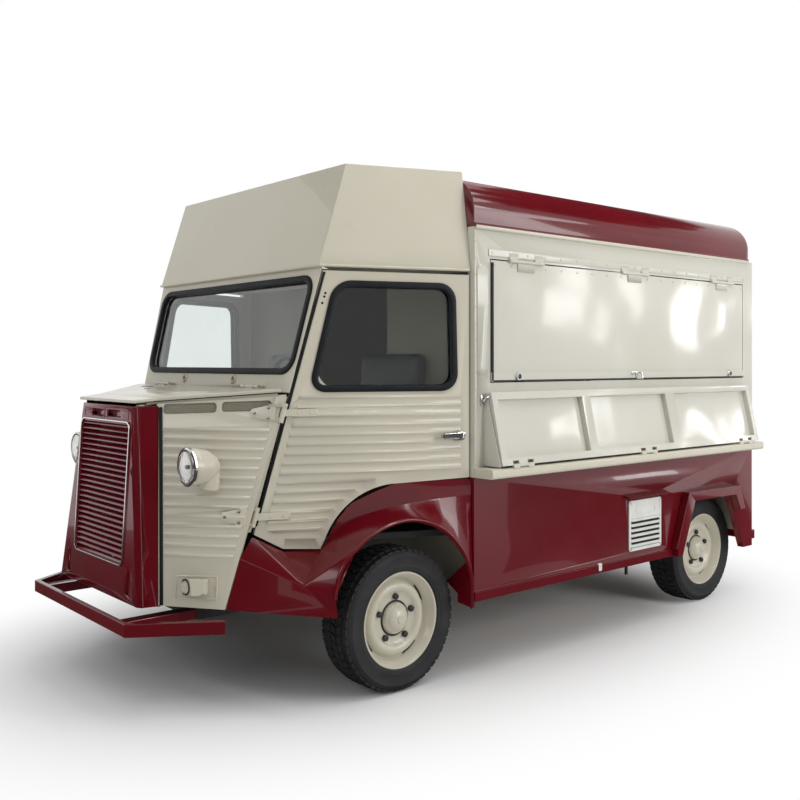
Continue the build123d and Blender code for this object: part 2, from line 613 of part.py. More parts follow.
# Rear arches: a folded flare outside, a wheel box inside
FLARE_OUT = 44.0
flare_line = [(-562, SILL_Z), (-416, 712), (140, 706), (200, 560), (140, 560)]
flare_line += [(90, 656), (-354, 660), (-482, SILL_Z)]
flare_line = [(WHEELBASE + s, z) for s, z in flare_line]
flare = side_prism(flare_line, BODY_HALF, BODY_HALF + FLARE_OUT)
flare -= block(BODY_HALF - 4, CUT_X1, 0, SILL_END, 300, SILL_Z + 43.5)
BOX_S0 = WHEELBASE - 374
BOX_T = 22.0
box_x0 = REAR_TRACK_HALF - TYRE_HALF - 46
box_top = 720.0
rear_inside = BODY_REAR - REAR_WALL
wheel_box = block(box_x0, BODY_HALF - WALL, BOX_S0, rear_inside, RAIL_Z1, box_top)
wheel_box -= block(box_x0 + BOX_T, CUT_X1, BOX_S0 + BOX_T, BODY_REAR, 300, box_top - BOX_T)
save("rear_arches", *both(flare), *both(wheel_box))

# Floors and the bulkhead between cab and shop
floor = block(-(BODY_HALF - WALL), BODY_HALF - WALL, BULKHEAD_S + BULKHEAD_T, rear_inside,
              RAIL_Z1, RAIL_Z1 + LOAD_FLOOR_T)
for cut in both(block(box_x0, CUT_X1, BOX_S0, BODY_REAR, 300, 900)):
    floor -= cut
save("load_floor", floor)
door_in = (DOOR_T + 14) / DOOR_U.Y

cab_plan = [(door_x(-540) - door_in, -540), (door_x(300) - door_in, 300), (door_x(300) - door_in, BULKHEAD_S)]
cab_plan += [(-x, s) for x, s in reversed(cab_plan)]
cab_floor = plan_prism(cab_plan, CAB_FLOOR_Z, CAB_FLOOR_Z + CAB_FLOOR_T)
cab_floor -= block(-250, 250, -600, -320, 600, 760)
save("cab_floor", cab_floor)
bulkhead = block(-(BODY_HALF - WALL), BODY_HALF - WALL, BULKHEAD_S, BULKHEAD_S + BULKHEAD_T, RAIL_Z1, EAVES_Z)
bulkhead -= block(-330, 330, 300, 500, CAB_FLOOR_Z + CAB_FLOOR_T, 1950)
save("bulkhead", bulkhead)

# Body sides above the belt: the serving hatch is cut in the left one
upper = block(BODY_HALF - WALL, BODY_HALF, BODY_FRONT, BODY_REAR, BELT_Z, EAVES_Z)
SIDE_PLANE = Plane(origin=(BODY_HALF, y(0), 0), x_dir=(0, 1, 0), z_dir=(1, 0, 0))
PRESSING = (BODY_FRONT + 17, BODY_FRONT + 87, 1394.0, 1906.0)
p0, p1, pz0, pz1 = PRESSING
upper += panel(SIDE_PLANE, [(p0, pz0), (p1, pz0), (p1, pz1), (p0, pz1)], 30, 0, 7)
save("side_upper_right", mirror(upper, about=Plane.YZ))
h0, h1, hz0, hz1 = HATCH["s0"], HATCH["s1"], HATCH["z0"], HATCH["z1"]
upper -= block(CUT_X0, CUT_X1, h0 - GAP, h1 + GAP, hz0 - GAP, hz1 + GAP)
HATCH_AXIS_X = BODY_HALF + 8
HATCH_AXIS_Z = hz1 + 2
hatch = block(BODY_HALF - HATCH["t"], BODY_HALF, h0, h1, hz0, hz1)
hatch += block(BODY_HALF, BODY_HALF + 7, h0, h1, hz0, hz0 + 42)
HATCH_MID = (h0 + h1) / 2
for s in (h0 + 243, HATCH_MID, h1 - 243):
    moving, fixed = knuckles((HATCH_AXIS_X, y(s), HATCH_AXIS_Z), (0, 1, 0), 60, 121, 8)
    hatch += moving + block(BODY_HALF, BODY_HALF + 5, s - 60, s + 60, hz1 - 44, hz1)
    for side, barrel in zip((-1, 1), fixed):
        s0, s1 = sorted((s + side * (60 + KNUCKLE_GAP), s + side * 121))
        upper += barrel + block(BODY_HALF, BODY_HALF + 7, s0, s1, hz1 + GAP, hz1 + 40)
save("hatch", hatch)
save("side_upper_left", upper)
grip = BODY_HALF + 12
handle = block(BODY_HALF + 7, grip, HATCH_MID - 57, HATCH_MID + 57, 1374, 1402)
for s in (HATCH_MID - 41, HATCH_MID + 41):
    handle += block(grip, grip + 24, s - 6, s + 6, 1380, 1394)
handle += block(grip + 20, grip + 30, HATCH_MID - 47, HATCH_MID + 47, 1379, 1395)
locks = [rod((BODY_HALF + 7, y(s), 1385), (BODY_HALF + 24, y(s), 1385), 17) for s in (h0 + 179, h1 - 168)]
save("hatch_handle", handle, *locks)

# Belt ledge down both sides, the serving shelf hinged on its outer edge
LEDGE_REAR = BODY_REAR - 75
ledge = block(BODY_HALF, BODY_HALF + LEDGE_OUT, BODY_FRONT + 2, LEDGE_REAR, BELT_Z, LEDGE_TOP)
rounded = ledge.edges().filter_by(Axis.Y).group_by(Axis.X)[-1]
plain_ledge = fillet(rounded, 12)
ledge = plain_ledge
SHELF_AXIS_X = BODY_HALF + LEDGE_OUT - 8
SHELF_AXIS_Z = LEDGE_TOP + 10
lean = radians(SHELF["lean"])
SHELF_PLANE = Plane(
    origin=(SHELF_AXIS_X + 4, y(0), SHELF_AXIS_Z + 2), x_dir=(0, 1, 0), z_dir=(cos(lean), 0, sin(lean)),
)
f_long = SHELF["s1"] - SHELF["s0"]
f0, f1, high, deep = SHELF["s0"], SHELF["s1"], SHELF["height"], SHELF["t"]


def on_shelf(s0, s1, v0, v1, w0, w1):
    centre = Pos((s0 + s1) / 2, (v0 + v1) / 2, (w0 + w1) / 2)
    return SHELF_PLANE * (centre * Box(s1 - s0, v1 - v0, w1 - w0))


shelf = on_shelf(f0, f1, 0, high, -deep, -deep + 12)
for s0, s1, v0, v1 in (
    (f0, f1, 0, 34), (f0, f1, high - 34, high), (f0, f0 + 36, 0, high), (f1 - 36, f1, 0, high),
    (f0 + 0.3 * f_long - 32, f0 + 0.3 * f_long + 32, 0, high),
    (f0 + 0.625 * f_long - 43, f0 + 0.625 * f_long + 43, 0, high),
):
    shelf += on_shelf(s0, s1, v0, v1, -deep, 0)
for s in (f0 + 142, (f0 + f1) / 2, f1 - 150):
    moving, fixed = knuckles((SHELF_AXIS_X, y(s), SHELF_AXIS_Z), (0, 1, 0), 30, 70, 8)
    for side, barrel in zip((-1, 1), fixed):
        s0, s1 = sorted((s + side * (30 + KNUCKLE_GAP), s + side * 70))
        ledge += barrel + block(SHELF_AXIS_X - 8, SHELF_AXIS_X + 8, s0, s1, LEDGE_TOP - 4, SHELF_AXIS_Z)
        room_at = Pos(SHELF_AXIS_X, y((s0 + s1) / 2), SHELF_AXIS_Z)
        shelf -= room_at * Box(44, s1 - s0 + 2, 44)
    shelf += moving
save("shelf", shelf)
right_ledge = mirror(plain_ledge, about=Plane.YZ)
save("belt_ledges", ledge, right_ledge)

# Roof: a shallow tray, rounded along the sides and round the tail
roof = block(-BODY_HALF, BODY_HALF, BODY_FRONT, BODY_REAR, EAVES_Z, EAVES_Z + ROOF_RISE)
roof = fillet(roof.edges().filter_by(Axis.Y).group_by(Axis.Z)[-1], ROOF_R)
roof = fillet(roof.faces().sort_by(Axis.Y)[-1].edges().filter_by(lambda e: e.center().Z > EAVES_Z + 1), TAIL_R)
attic = block(-BODY_HALF + WALL, BODY_HALF - WALL, BODY_FRONT + WALL, BODY_REAR - 70, EAVES_Z - 1,
              EAVES_Z + ROOF_RISE - ROOF_WALL)
attic = fillet(attic.edges().filter_by(Axis.Y).group_by(Axis.Z)[-1], ATTIC_R)
roof -= attic
drip = block(BODY_HALF, BODY_HALF + 14, BODY_FRONT, BODY_REAR - 60, EAVES_Z, EAVES_Z + 16)
roof += both(drip)
save("roof", roof)

# Sign box over the cab, left blank
SIGN_FRONT = DOOR_LINE_X
SIGN_REAR = door_x(BODY_FRONT)


def sign_outline(front_s, rear_x, inset):
    """The sign box in plan at one height, drawn in by its wall."""
    front = (SIGN_FRONT - inset, front_s + inset)
    rear = (rear_x - inset, BODY_FRONT - inset)
    return [(-front[0], front[1]), front, rear, (-rear[0], rear[1])]


sign = ruled(sign_outline(DOOR_LINE_S, SIGN_REAR, 0), SIGN_Z0,
             sign_outline(-183, SIGN_REAR - 59, 0), SIGN_Z1)
sign -= ruled(sign_outline(DOOR_LINE_S, SIGN_REAR, SIGN_WALL), SIGN_Z0 - 1,
              sign_outline(-183, SIGN_REAR - 59, SIGN_WALL), SIGN_Z1 - SIGN_WALL)
sign -= both(door_room)
save("sign_box", sign)

# Tail: the frame, its door and the pane in it
REAR_DOOR = dict(half=420.0, z0=455.0, z1=1950.0)
rear_frame = block(-(BODY_HALF - WALL), BODY_HALF - WALL, rear_inside, BODY_REAR, RAIL_Z1, EAVES_Z)
half, rz0, rz1 = REAR_DOOR["half"], REAR_DOOR["z0"], REAR_DOOR["z1"]
rear_frame -= block(-half, half, rear_inside - 10, BODY_REAR + 10, rz0, rz1)
rear_door = block(-half + GAP, half - GAP, rear_inside, BODY_REAR, rz0 + GAP, rz1 - GAP)
REAR_AXIS_X = half - 2
REAR_AXIS_S = BODY_REAR + 10
for z in (720, 1202, 1684):
    moving, fixed = knuckles((REAR_AXIS_X, y(REAR_AXIS_S), z), (0, 0, 1), 40, 81, 9)
    rear_door += moving + block(half - 90, REAR_AXIS_X - 3, BODY_REAR, BODY_REAR + 9, z - 40, z + 40)
    for side, barrel in zip((-1, 1), fixed):
        z0, z1 = sorted((z + side * (40 + KNUCKLE_GAP), z + side * 81))
        rear_frame += barrel + block(REAR_AXIS_X + 2, half + 70, BODY_REAR, BODY_REAR + 9, z0, z1)
BACK_PLANE = Plane(origin=(0, y(BODY_REAR), 0), x_dir=(1, 0, 0), z_dir=(0, -1, 0))


def pane_outline(inset):
    """The tail pane's corners, drawn in by a clearance."""
    x, z0, z1 = 250 - inset, 1330 + inset, 1760 - inset
    return [(-x, z0), (x, z0), (x, z1), (-x, z1)]


rear_door -= panel(BACK_PLANE, pane_outline(0), 50, -40, 60)
save("rear_frame", rear_frame)
save("rear_door", rear_door)
save("rear_door_glass", panel(BACK_PLANE, pane_outline(GLASS_GAP), 49.7, 12, 18))
pull = block(-385, -345, BODY_REAR, BODY_REAR + 10, 1110, 1200)
pull += block(-372, -358, BODY_REAR + 10, BODY_REAR + 40, 1090, 1180)
save("rear_door_handle", pull)
tail_lamps = [block(x - 45, x + 45, BODY_REAR, BODY_REAR + 32, 800, 900) for x in (204 - BODY_HALF, BODY_HALF - 204)]
save("tail_lamps", *tail_lamps)

# Bumpers: a flat bar bent round the nose on two arms, a plain bar behind
BUMPER_Z = (354.0, 408.0)
outer = [(-711, -780), (-498, BUMPER_S), (498, BUMPER_S), (711, -780)]
inner = [(x * 0.965 if abs(x) > 600 else x * 0.955, s + (22 if abs(x) < 600 else 8)) for x, s in outer]
bumper = plan_prism(outer + inner[::-1], *BUMPER_Z)
arm = block(RAIL_X0, RAIL_X1, BUMPER_S + 20, RAIL_FRONT, RAIL_Z0 + 4, RAIL_Z1)
save("front_bumper", bumper + both(arm))
rear_bar = block(19 - BODY_HALF, BODY_HALF - 19, RAIL_REAR, RAIL_REAR + 55, 345, 402)
save("rear_bumper", rear_bar)

# Inside the cab: seats, dashboard, column and wheel
SEAT_X = DOOR_LINE_X - 303
seat = block(SEAT_X - 200, SEAT_X + 200, -20, 330, CAB_FLOOR_Z + CAB_FLOOR_T, 880)
seat += block(SEAT_X - 225, SEAT_X + 225, -70, 380, 880, 970)
seat += block(SEAT_X - 225, SEAT_X + 225, 290, 390, 970, 1520)
save("seats", *both(seat))
dash = block(133 - DOOR_LINE_X, DOOR_LINE_X - 133, -452, -330, 1190, PANEL_FOOT_Z)
dash -= scuttle
save("dashboard", dash)
column_top = Vector(SEAT_X, y(-205), 1300)
column_foot = Vector(SEAT_X, y(-360), 1236)
along = (column_top - column_foot).normalized()
ring_plane = Plane(origin=column_top, z_dir=along)
GRIP_R = 13.0
RING_R = 190.0
grip_line = [(RING_R + GRIP_R * cos(radians(a)), 0, GRIP_R * sin(radians(a))) for a in range(0, 360, 60)]
steering = ring_plane * revolve(make_face(Polyline(grip_line, close=True)), axis=Axis.Z)
steering += rod(column_foot, column_top + along * 10, 24)
for turn in (30, 150, 270):
    tip = ring_plane.from_local_coords(Vector(RING_R * cos(radians(turn)), RING_R * sin(radians(turn)), 0))
    steering += rod(column_top, tip, 9)
save("steering_wheel", steering - dash)
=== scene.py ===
# %% [markdown]
# The imported truck comes in as a fixed frame: every steel panel, hinge and wheel is already in its place.
# Blender's work is to dress that frame.

# %% Load the frame
import json
import math
import bmesh
import bpy
from mathutils import Matrix, Vector

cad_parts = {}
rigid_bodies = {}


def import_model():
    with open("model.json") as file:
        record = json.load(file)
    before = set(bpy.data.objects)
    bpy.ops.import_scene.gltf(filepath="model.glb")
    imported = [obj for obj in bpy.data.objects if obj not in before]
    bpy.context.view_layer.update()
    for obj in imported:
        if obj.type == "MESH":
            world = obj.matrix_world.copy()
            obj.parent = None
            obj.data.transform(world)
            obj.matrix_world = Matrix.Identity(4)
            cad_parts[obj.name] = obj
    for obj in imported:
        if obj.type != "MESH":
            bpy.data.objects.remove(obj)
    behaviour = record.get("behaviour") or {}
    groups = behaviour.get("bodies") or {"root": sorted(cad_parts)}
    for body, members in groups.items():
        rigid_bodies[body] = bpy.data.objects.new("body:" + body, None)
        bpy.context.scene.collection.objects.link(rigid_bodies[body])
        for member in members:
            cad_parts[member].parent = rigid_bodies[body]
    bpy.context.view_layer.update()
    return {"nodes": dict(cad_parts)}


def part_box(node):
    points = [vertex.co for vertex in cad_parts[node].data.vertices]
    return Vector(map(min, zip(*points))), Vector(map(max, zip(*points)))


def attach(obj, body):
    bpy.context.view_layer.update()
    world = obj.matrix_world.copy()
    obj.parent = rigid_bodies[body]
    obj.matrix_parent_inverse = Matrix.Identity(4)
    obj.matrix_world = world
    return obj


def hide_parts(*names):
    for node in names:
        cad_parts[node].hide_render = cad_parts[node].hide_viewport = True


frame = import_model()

NODES = frame["nodes"]
BODY_OF = {node: body.split(":")[-1] for node, body in ((n, o.parent.name) for n, o in NODES.items())}

# %% [markdown]
# Many small pieces sit on slanted panels: the raked windscreen, the flared nose, the tapering doors. A
# matrix for each panel lets a piece be drawn flat, as on a bench, and then be laid on the panel. In each
# matrix the first axis runs along the panel, the second up it and the third straight out of it.

# %% Panels as drawing boards
def middle(node):
    low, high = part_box(node)
    return (low + high) / 2


def board(origin, along, out):
    """A matrix that lays flat drawings on a panel."""
    out = Vector(out).normalized()
    along = Vector(along).normalized()
    up = out.cross(along)
    axes = Matrix((along, up, out)).transposed().to_4x4()
    return Matrix.Translation(Vector(origin)) @ axes


AXLE_Y = middle("tyre_front_left").y
SHEET_LIP = 0.007
BODY_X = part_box("side_upper_right")[0].x * -1 - SHEET_LIP
DOOR_SLOPE = 0.3767
RAKE = 0.2765
RAKE_U, RAKE_Z = 0.016, 1.851  # top of the door's raked front edge
DOOR_X, DOOR_S = 0.733, -0.334  # front of the door: half width, and station from the front axle
DOOR = board((DOOR_X, AXLE_Y + DOOR_S, 0), (DOOR_SLOPE, 1, 0), (1, -DOOR_SLOPE, 0))
UP_RAKE = RAKE * DOOR.col[0].y
SIGN_FOOT_Z = 1.866
SCREEN_Y = AXLE_Y + DOOR_S + (RAKE_U + RAKE * (SIGN_FOOT_Z - RAKE_Z)) * DOOR.col[0].y
SCREEN = board((0, SCREEN_Y, SIGN_FOOT_Z), (1, 0, 0), (0, -1, UP_RAKE))
COWL = board((0, AXLE_Y - 0.972, 1.264), (1, 0, 0), (0, -0.824, 0.050))
SIDE = board((BODY_X, AXLE_Y, 0), (0, 1, 0), (1, 0, 0))
TAIL = board((0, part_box("rear_frame")[1].y - 0.019, 0), (-1, 0, 0), (0, 1, 0))
NOSE_POINTS = ((0.300, -0.876, 1.280), (0.684, -0.468, 1.320), (0.440, -0.942, 0.445))
NOSE_CORNERS = [Vector(p) for p in NOSE_POINTS]
NOSE_OUT = (NOSE_CORNERS[2] - NOSE_CORNERS[0]).cross(NOSE_CORNERS[1] - NOSE_CORNERS[0])
NOSE_TOP = NOSE_CORNERS[0] + Vector((0, AXLE_Y, 0))
NOSE = board(NOSE_TOP, Vector((0, 0, 1)).cross(NOSE_OUT), NOSE_OUT)
print("side wall at x", round(BODY_X, 3), "front axle at y", round(AXLE_Y, 3))

# %% [markdown]
# Every finish is a small tree of nodes on one Principled shader. Object coordinates are metres on the
# truck, so a noise of scale 2 gives blotches half a metre wide and a noise of scale 200 gives grain of a
# few millimetres. The helpers below only save typing: they add a node, feed it and hand it back.

# %% Helpers for finishes
class Finish:
    """One material, with its Principled shader at hand."""

    def __init__(self, name, **sockets):
        self.mat = bpy.data.materials.new(name)
        self.mat.use_nodes = True
        self.tree = self.mat.node_tree
        self.shader = self.tree.nodes["Principled BSDF"]
        self.coords = self.node("ShaderNodeTexCoord").outputs["Object"]
        for socket, value in sockets.items():
            self.shader.inputs[socket.replace("_", " ")].default_value = value

    def node(self, kind, **settings):
        made = self.tree.nodes.new(kind)
        for key, value in settings.items():
            setattr(made, key, value)
        return made

    def link(self, source, target):
        self.tree.links.new(source, target)

    def noise(self, scale, detail=3.0, stretch=None):
        made = self.node("ShaderNodeTexNoise")
        made.inputs["Scale"].default_value = scale
        made.inputs["Detail"].default_value = detail
        source = self.coords
        if stretch:
            mapping = self.node("ShaderNodeMapping")
            mapping.inputs["Scale"].default_value = stretch
            self.link(source, mapping.inputs["Vector"])
            source = mapping.outputs["Vector"]
        self.link(source, made.inputs["Vector"])
        return made.outputs["Fac"]

    def ramp(self, source, *stops):
        made = self.node("ShaderNodeValToRGB")
        keys = made.color_ramp.elements
        while len(keys) < len(stops):
            keys.new(0.5)
        for key, (place, colour) in zip(keys, stops):
            key.position = place
            key.color = (*colour, 1) if len(colour) == 3 else colour
        self.link(source, made.inputs["Fac"])
        return made.outputs["Color"]

    def spread(self, source, low, high):
        made = self.node("ShaderNodeMapRange")
        made.inputs["To Min"].default_value = low
        made.inputs["To Max"].default_value = high
        self.link(source, made.inputs["Value"])
        return made.outputs["Result"]

    def bump(self, source, height, strength=1.0, under=None):
        made = self.node("ShaderNodeBump")
        made.inputs["Distance"].default_value = height
        made.inputs["Strength"].default_value = strength
        self.link(source, made.inputs["Height"])
        if under:
            self.link(under, made.inputs["Normal"])
        return made.outputs["Normal"]

    def feed(self, socket, source):
        self.link(source, self.shader.inputs[socket])


def grey(value):
    return (value, value, value)


# %% [markdown]
# The body is sprayed in two gloss enamels over thin pressed sheet. Up close such paint is never flat: it
# has orange peel of a few millimetres, broad waves where the sheet was welded or hammered, and faint dust
# in the hollows. The waves go to the clear coat as well, because it is the coat that mirrors the lamps.

# %% Gloss paint
def gloss_paint(name, colour, shade, dull, waves, wave_scale=2.4, coat_dull=0.02):
    paint = Finish(name, Coat_Weight=0.45, Coat_Roughness=coat_dull, Specular_IOR_Level=0.24)
    blotch = paint.noise(1.7, 4)
    paint.feed("Base Color", paint.ramp(blotch, (0.28, shade), (0.62, colour)))
    paint.feed("Roughness", paint.spread(paint.noise(9, 6), dull - 0.08, dull + 0.10))
    wavy = paint.bump(paint.noise(wave_scale, 0.4), waves)
    peel = paint.bump(paint.noise(240, 2), 0.00012, 0.5, under=wavy)
    paint.feed("Normal", peel)
    paint.feed("Coat Normal", wavy)
    return paint.mat


CREAM = gloss_paint("cream_enamel", (0.575, 0.540, 0.440), (0.545, 0.508, 0.408), 0.30, 0.004)
CREAM_SHEET = gloss_paint("cream_thin_sheet", (0.560, 0.545, 0.475), (0.535, 0.515, 0.445),
                          0.20, 0.026, coat_dull=0.10)
BURGUNDY = gloss_paint("burgundy_enamel", (0.118, 0.003, 0.008), (0.098, 0.003, 0.006), 0.18, 0.006, 1.9)
print("paints:", CREAM.name, CREAM_SHEET.name, BURGUNDY.name)

# %% [markdown]
# The rest of the finishes: rubber for seals and tyres, bright plate, clear and milky glass, coloured
# lenses, black chassis steel, cast iron, plywood, plastic and cloth. Each takes its grain from noise or
# waves at the size that the real stuff has. Glass is a thin see-through shader, so the cab behind the
# panes stays visible.

# %% Rubber, metal, glass and the rest
def grained(name, colour, shade, rough, grain, height, scale=3.0, **sockets):
    made = Finish(name, **sockets)
    made.feed("Base Color", made.ramp(made.noise(scale, 5), (0.30, shade), (0.66, colour)))
    made.feed("Roughness", made.spread(made.noise(grain / 6, 4), rough - 0.08, rough + 0.10))
    made.feed("Normal", made.bump(made.noise(grain, 3), height))
    return made.mat


RUBBER = grained("seal_rubber", (0.011, 0.013, 0.017), grey(0.007), 0.50, 420, 0.0002, 14,
                 Specular_IOR_Level=0.22)
TYRE = grained("tyre_rubber", (0.026, 0.026, 0.028), (0.014, 0.014, 0.015), 0.72, 300, 0.0006, 9)
BLACK_STEEL = grained("chassis_black", grey(0.035), grey(0.018), 0.52, 160, 0.0006, 5)
CAST_IRON = grained("cast_iron", grey(0.10), grey(0.055), 0.62, 120, 0.0012, 6, Metallic=0.6)
CHROME = grained("bright_plate", grey(0.78), grey(0.66), 0.14, 60, 0.00004, 7, Metallic=1.0)
STEEL = grained("zinc_fastener", grey(0.52), grey(0.38), 0.34, 220, 0.0001, 20, Metallic=1.0)
WHITE_PLASTIC = grained("white_plastic", (0.72, 0.72, 0.69), (0.62, 0.62, 0.58), 0.38, 260, 0.0001, 8)
BLACK_PLASTIC = grained("black_plastic", grey(0.030), grey(0.020), 0.44, 340, 0.0003, 6)
CAB_PAINT = grained("cab_lining_paint", (0.30, 0.27, 0.21), (0.22, 0.20, 0.155), 0.60, 60, 0.0004, 2)
OLIVE_GREY = grained("vent_sheet", (0.40, 0.38, 0.30), (0.33, 0.31, 0.24), 0.55, 200, 0.0003, 10)
LEATHERCLOTH = grained("black_leathercloth", grey(0.030), grey(0.016), 0.48, 260, 0.0008, 12)
# Painted shade: this near-black finish stands for the shadow in holes, slits and gaps; on the dial faces it
# is their own black.
SHADE_AND_DIAL_BLACK = grained("dark_hollow", grey(0.010), grey(0.006), 0.85, 90, 0.0004, 5)


def glass(name, tint, rough=0.0, bumps=None, weight=1.0):
    made = Finish(name, Transmission_Weight=weight, IOR=1.45)
    smear = made.noise(3.5, 4)
    made.feed("Base Color", made.ramp(smear, (0.3, [c * 0.96 for c in tint]), (0.7, tint)))
    made.feed("Roughness", made.spread(smear, rough, rough + 0.02))
    if bumps:
        made.feed("Normal", made.bump(made.noise(*bumps), 0.001))
    return made.mat


PANE = glass("window_pane", (0.90, 0.94, 0.93))
LAMP_GLASS = glass("lamp_glass", (0.97, 0.97, 0.95), 0.04, (70, 1))
RED_LENS = glass("red_lens", (0.55, 0.012, 0.010), 0.12, (110, 1), 0.55)


def plywood():
    made = Finish("floor_plywood", Roughness=0.6)
    grain = made.noise(9, 6, stretch=(9, 0.6, 1))
    made.feed("Base Color", made.ramp(grain, (0.32, (0.13, 0.085, 0.05)), (0.7, (0.26, 0.18, 0.11))))
    made.feed("Normal", made.bump(grain, 0.0008))
    return made.mat


PLYWOOD = plywood()
print("finishes:", len(bpy.data.materials))

# %% [markdown]
# A CAD panel arrives as loose triangles with knife edges, and no pressed or folded sheet has those. The
# node itself must stay as it is, so the dressing is a copy: its doubles are merged, its triangles are
# paired up, and where a piece is given a fold radius a Bevel modifier rounds its folds by that radius,
# the one that the press would leave.

# %% Dress the steel
def show(name, mesh, material, body):
    """Link a finished mesh as a piece that rides on a body."""
    piece = bpy.data.objects.new(name, mesh)
    bpy.context.scene.collection.objects.link(piece)
    mesh.materials.append(material)
    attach(piece, body)
    return piece


FOLD_ANGLE = math.radians(28)


def dress(node, material, fold):
    """A copy of a CAD node, with soft folds where a fold radius is given, standing for the node."""
    mesh = NODES[node].data.copy()
    mesh.materials.clear()
    mesh.name = node + "_dressed"
    bm = bmesh.new()
    bm.from_mesh(mesh)
    bmesh.ops.remove_doubles(bm, verts=bm.verts, dist=0.00002)
    flat = math.radians(0.5)
    bmesh.ops.join_triangles(bm, faces=bm.faces, angle_face_threshold=flat,
                             angle_shape_threshold=math.pi)
    for face in bm.faces:
        face.smooth = True
    bm.to_mesh(mesh)
    bm.free()
    piece = show(node + "_dressed", mesh, material, BODY_OF[node])
    if fold:
        bevel = piece.modifiers.new("fold", "BEVEL")
        bevel.width = fold
        bevel.segments = 2
        bevel.limit_method = "ANGLE"
        bevel.angle_limit = FOLD_ANGLE
        bevel.use_clamp_overlap = False
        bevel.harden_normals = True
        bevel.miter_outer = "MITER_ARC"
    mesh.set_sharp_from_angle(angle=FOLD_ANGLE)
    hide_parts(node)
    return piece


DRESSING = [
    # node, finish, fold radius in metres
    ("belt_ledges", CREAM, 0.0008), ("bonnet", CREAM, 0.004), ("bright_trim", CHROME, 0.0015),
    ("bulkhead", CAB_PAINT, 0), ("cab_floor", BLACK_STEEL, 0.002), ("dashboard", BLACK_PLASTIC, 0.012),
    ("chassis_crossmembers", BLACK_STEEL, 0.004), ("chassis_rails", BLACK_STEEL, 0.004),
    ("door_left", CREAM, 0), ("door_right", CREAM, 0),
    ("door_left_glass", PANE, 0), ("door_right_glass", PANE, 0),
    ("door_left_handle", CHROME, 0.003), ("door_right_handle", CHROME, 0.003),
    ("engine_block", CAST_IRON, 0.012),
    ("front_axle", BLACK_STEEL, 0.003), ("rear_axle", BLACK_STEEL, 0.003),
    ("front_bumper", BURGUNDY, 0.004), ("rear_bumper", BURGUNDY, 0.006),
    ("grille_cowl", BURGUNDY, 0.005), ("grille_slats", BURGUNDY, 0.0008),
    ("hatch", CREAM_SHEET, 0),
    ("knuckle_left", BLACK_STEEL, 0.002), ("knuckle_right", BLACK_STEEL, 0.002),
    ("lamp_housings", CREAM, 0.003), ("load_floor", PLYWOOD, 0.001),
    ("nose_sides", CREAM, 0), ("rear_arches", BURGUNDY, 0.004),
    ("rear_door", CREAM_SHEET, 0), ("rear_door_glass", PANE, 0), ("rear_door_handle", CHROME, 0.003),
    ("rear_frame", CREAM_SHEET, 0), ("roof", BURGUNDY, 0.003), ("scuttle_panel", CREAM, 0),
    ("shelf", CREAM_SHEET, 0),
    ("side_lower_left", BURGUNDY, 0.003), ("side_lower_right", BURGUNDY, 0.003),
    ("side_upper_left", CREAM_SHEET, 0), ("side_upper_right", CREAM_SHEET, 0),
    ("sign_box", CREAM, 0.004),
    ("steering_wheel", BLACK_PLASTIC, 0.003), ("tail_lamps", RED_LENS, 0.006),
    ("windscreen_frame", CREAM, 0), ("windscreen_glass", PANE, 0),
]
for node, finish, fold in DRESSING:
    dress(node, finish, fold)
print("dressed", len(DRESSING), "nodes")

# %% [markdown]
# Trim is drawn on the bench and laid on its panel. A plate is a rounded outline raised by extrusion, a
# ring is the same outline with its middle inset and taken out, a turned piece is a profile spun about an
# axis, and a tube is a swept curve. These four shapes make nearly every seal, bezel, rivet and lamp on
# the truck.

# %% Bench tools
def rect(x0, x1, y0, y1):
    return [(x0, y0), (x1, y0), (x1, y1), (x0, y1)]


def outline(points, radius=0.0, segments=6):
    bm = bmesh.new()
    corners = [bm.verts.new((x, y, 0)) for x, y in points]
    bm.faces.new(corners)
    if radius:
        bmesh.ops.bevel(bm, geom=corners, offset=radius, segments=segments, profile=0.5,
                        affect="VERTICES", material=-1)
    return bm


def raised(bm, low, high, soften=0.0):
    """Lift flat faces into a plate between two heights and round its upper rim."""
    bmesh.ops.translate(bm, verts=bm.verts, vec=(0, 0, low))
    lifted = bmesh.ops.extrude_face_region(bm, geom=bm.faces[:])["geom"]
    top = [part for part in lifted if isinstance(part, bmesh.types.BMVert)]
    bmesh.ops.translate(bm, verts=top, vec=(0, 0, high - low))
    bmesh.ops.recalc_face_normals(bm, faces=bm.faces)
    if soften:
        level = high - 1e-6
        upper = [e for e in bm.edges if min(v.co.z for v in e.verts) > level]
        rim = [e for e in upper if e.calc_face_angle(0) > 0.5]
        bmesh.ops.bevel(bm, geom=rim, offset=soften, segments=2, profile=0.5, affect="EDGES", material=-1)
    return bm


def plate(points, radius, low, high, soften=0.0):
    return raised(outline(points, radius), low, high, soften)


def ring(points, radius, width, low, high, soften=0.0):
    bm = outline(points, radius)
    middle_face = bm.faces[:]
    bmesh.ops.inset_region(bm, faces=middle_face, thickness=width,
                           use_even_offset=True, use_boundary=True)
    bmesh.ops.delete(bm, geom=middle_face, context="FACES")
    return raised(bm, low, high, soften)


def turned(profile, steps=32, closed=False, at=(0, 0, 0)):
    """Spin a profile of (radius, height) points about the bench's upright axis."""
    bm = bmesh.new()
    dots = [bm.verts.new((r, 0, h)) for r, h in profile]
    lines = [bm.edges.new(pair) for pair in zip(dots, dots[1:] + dots[:1] if closed else dots[1:])]
    bmesh.ops.spin(bm, geom=dots + lines, axis=(0, 0, 1), cent=(0, 0, 0), angle=math.tau,
                   steps=steps, use_merge=True)
    bmesh.ops.remove_doubles(bm, verts=bm.verts, dist=1e-6)
    bmesh.ops.recalc_face_normals(bm, faces=bm.faces)
    bmesh.ops.translate(bm, verts=bm.verts, vec=at)
    return bm


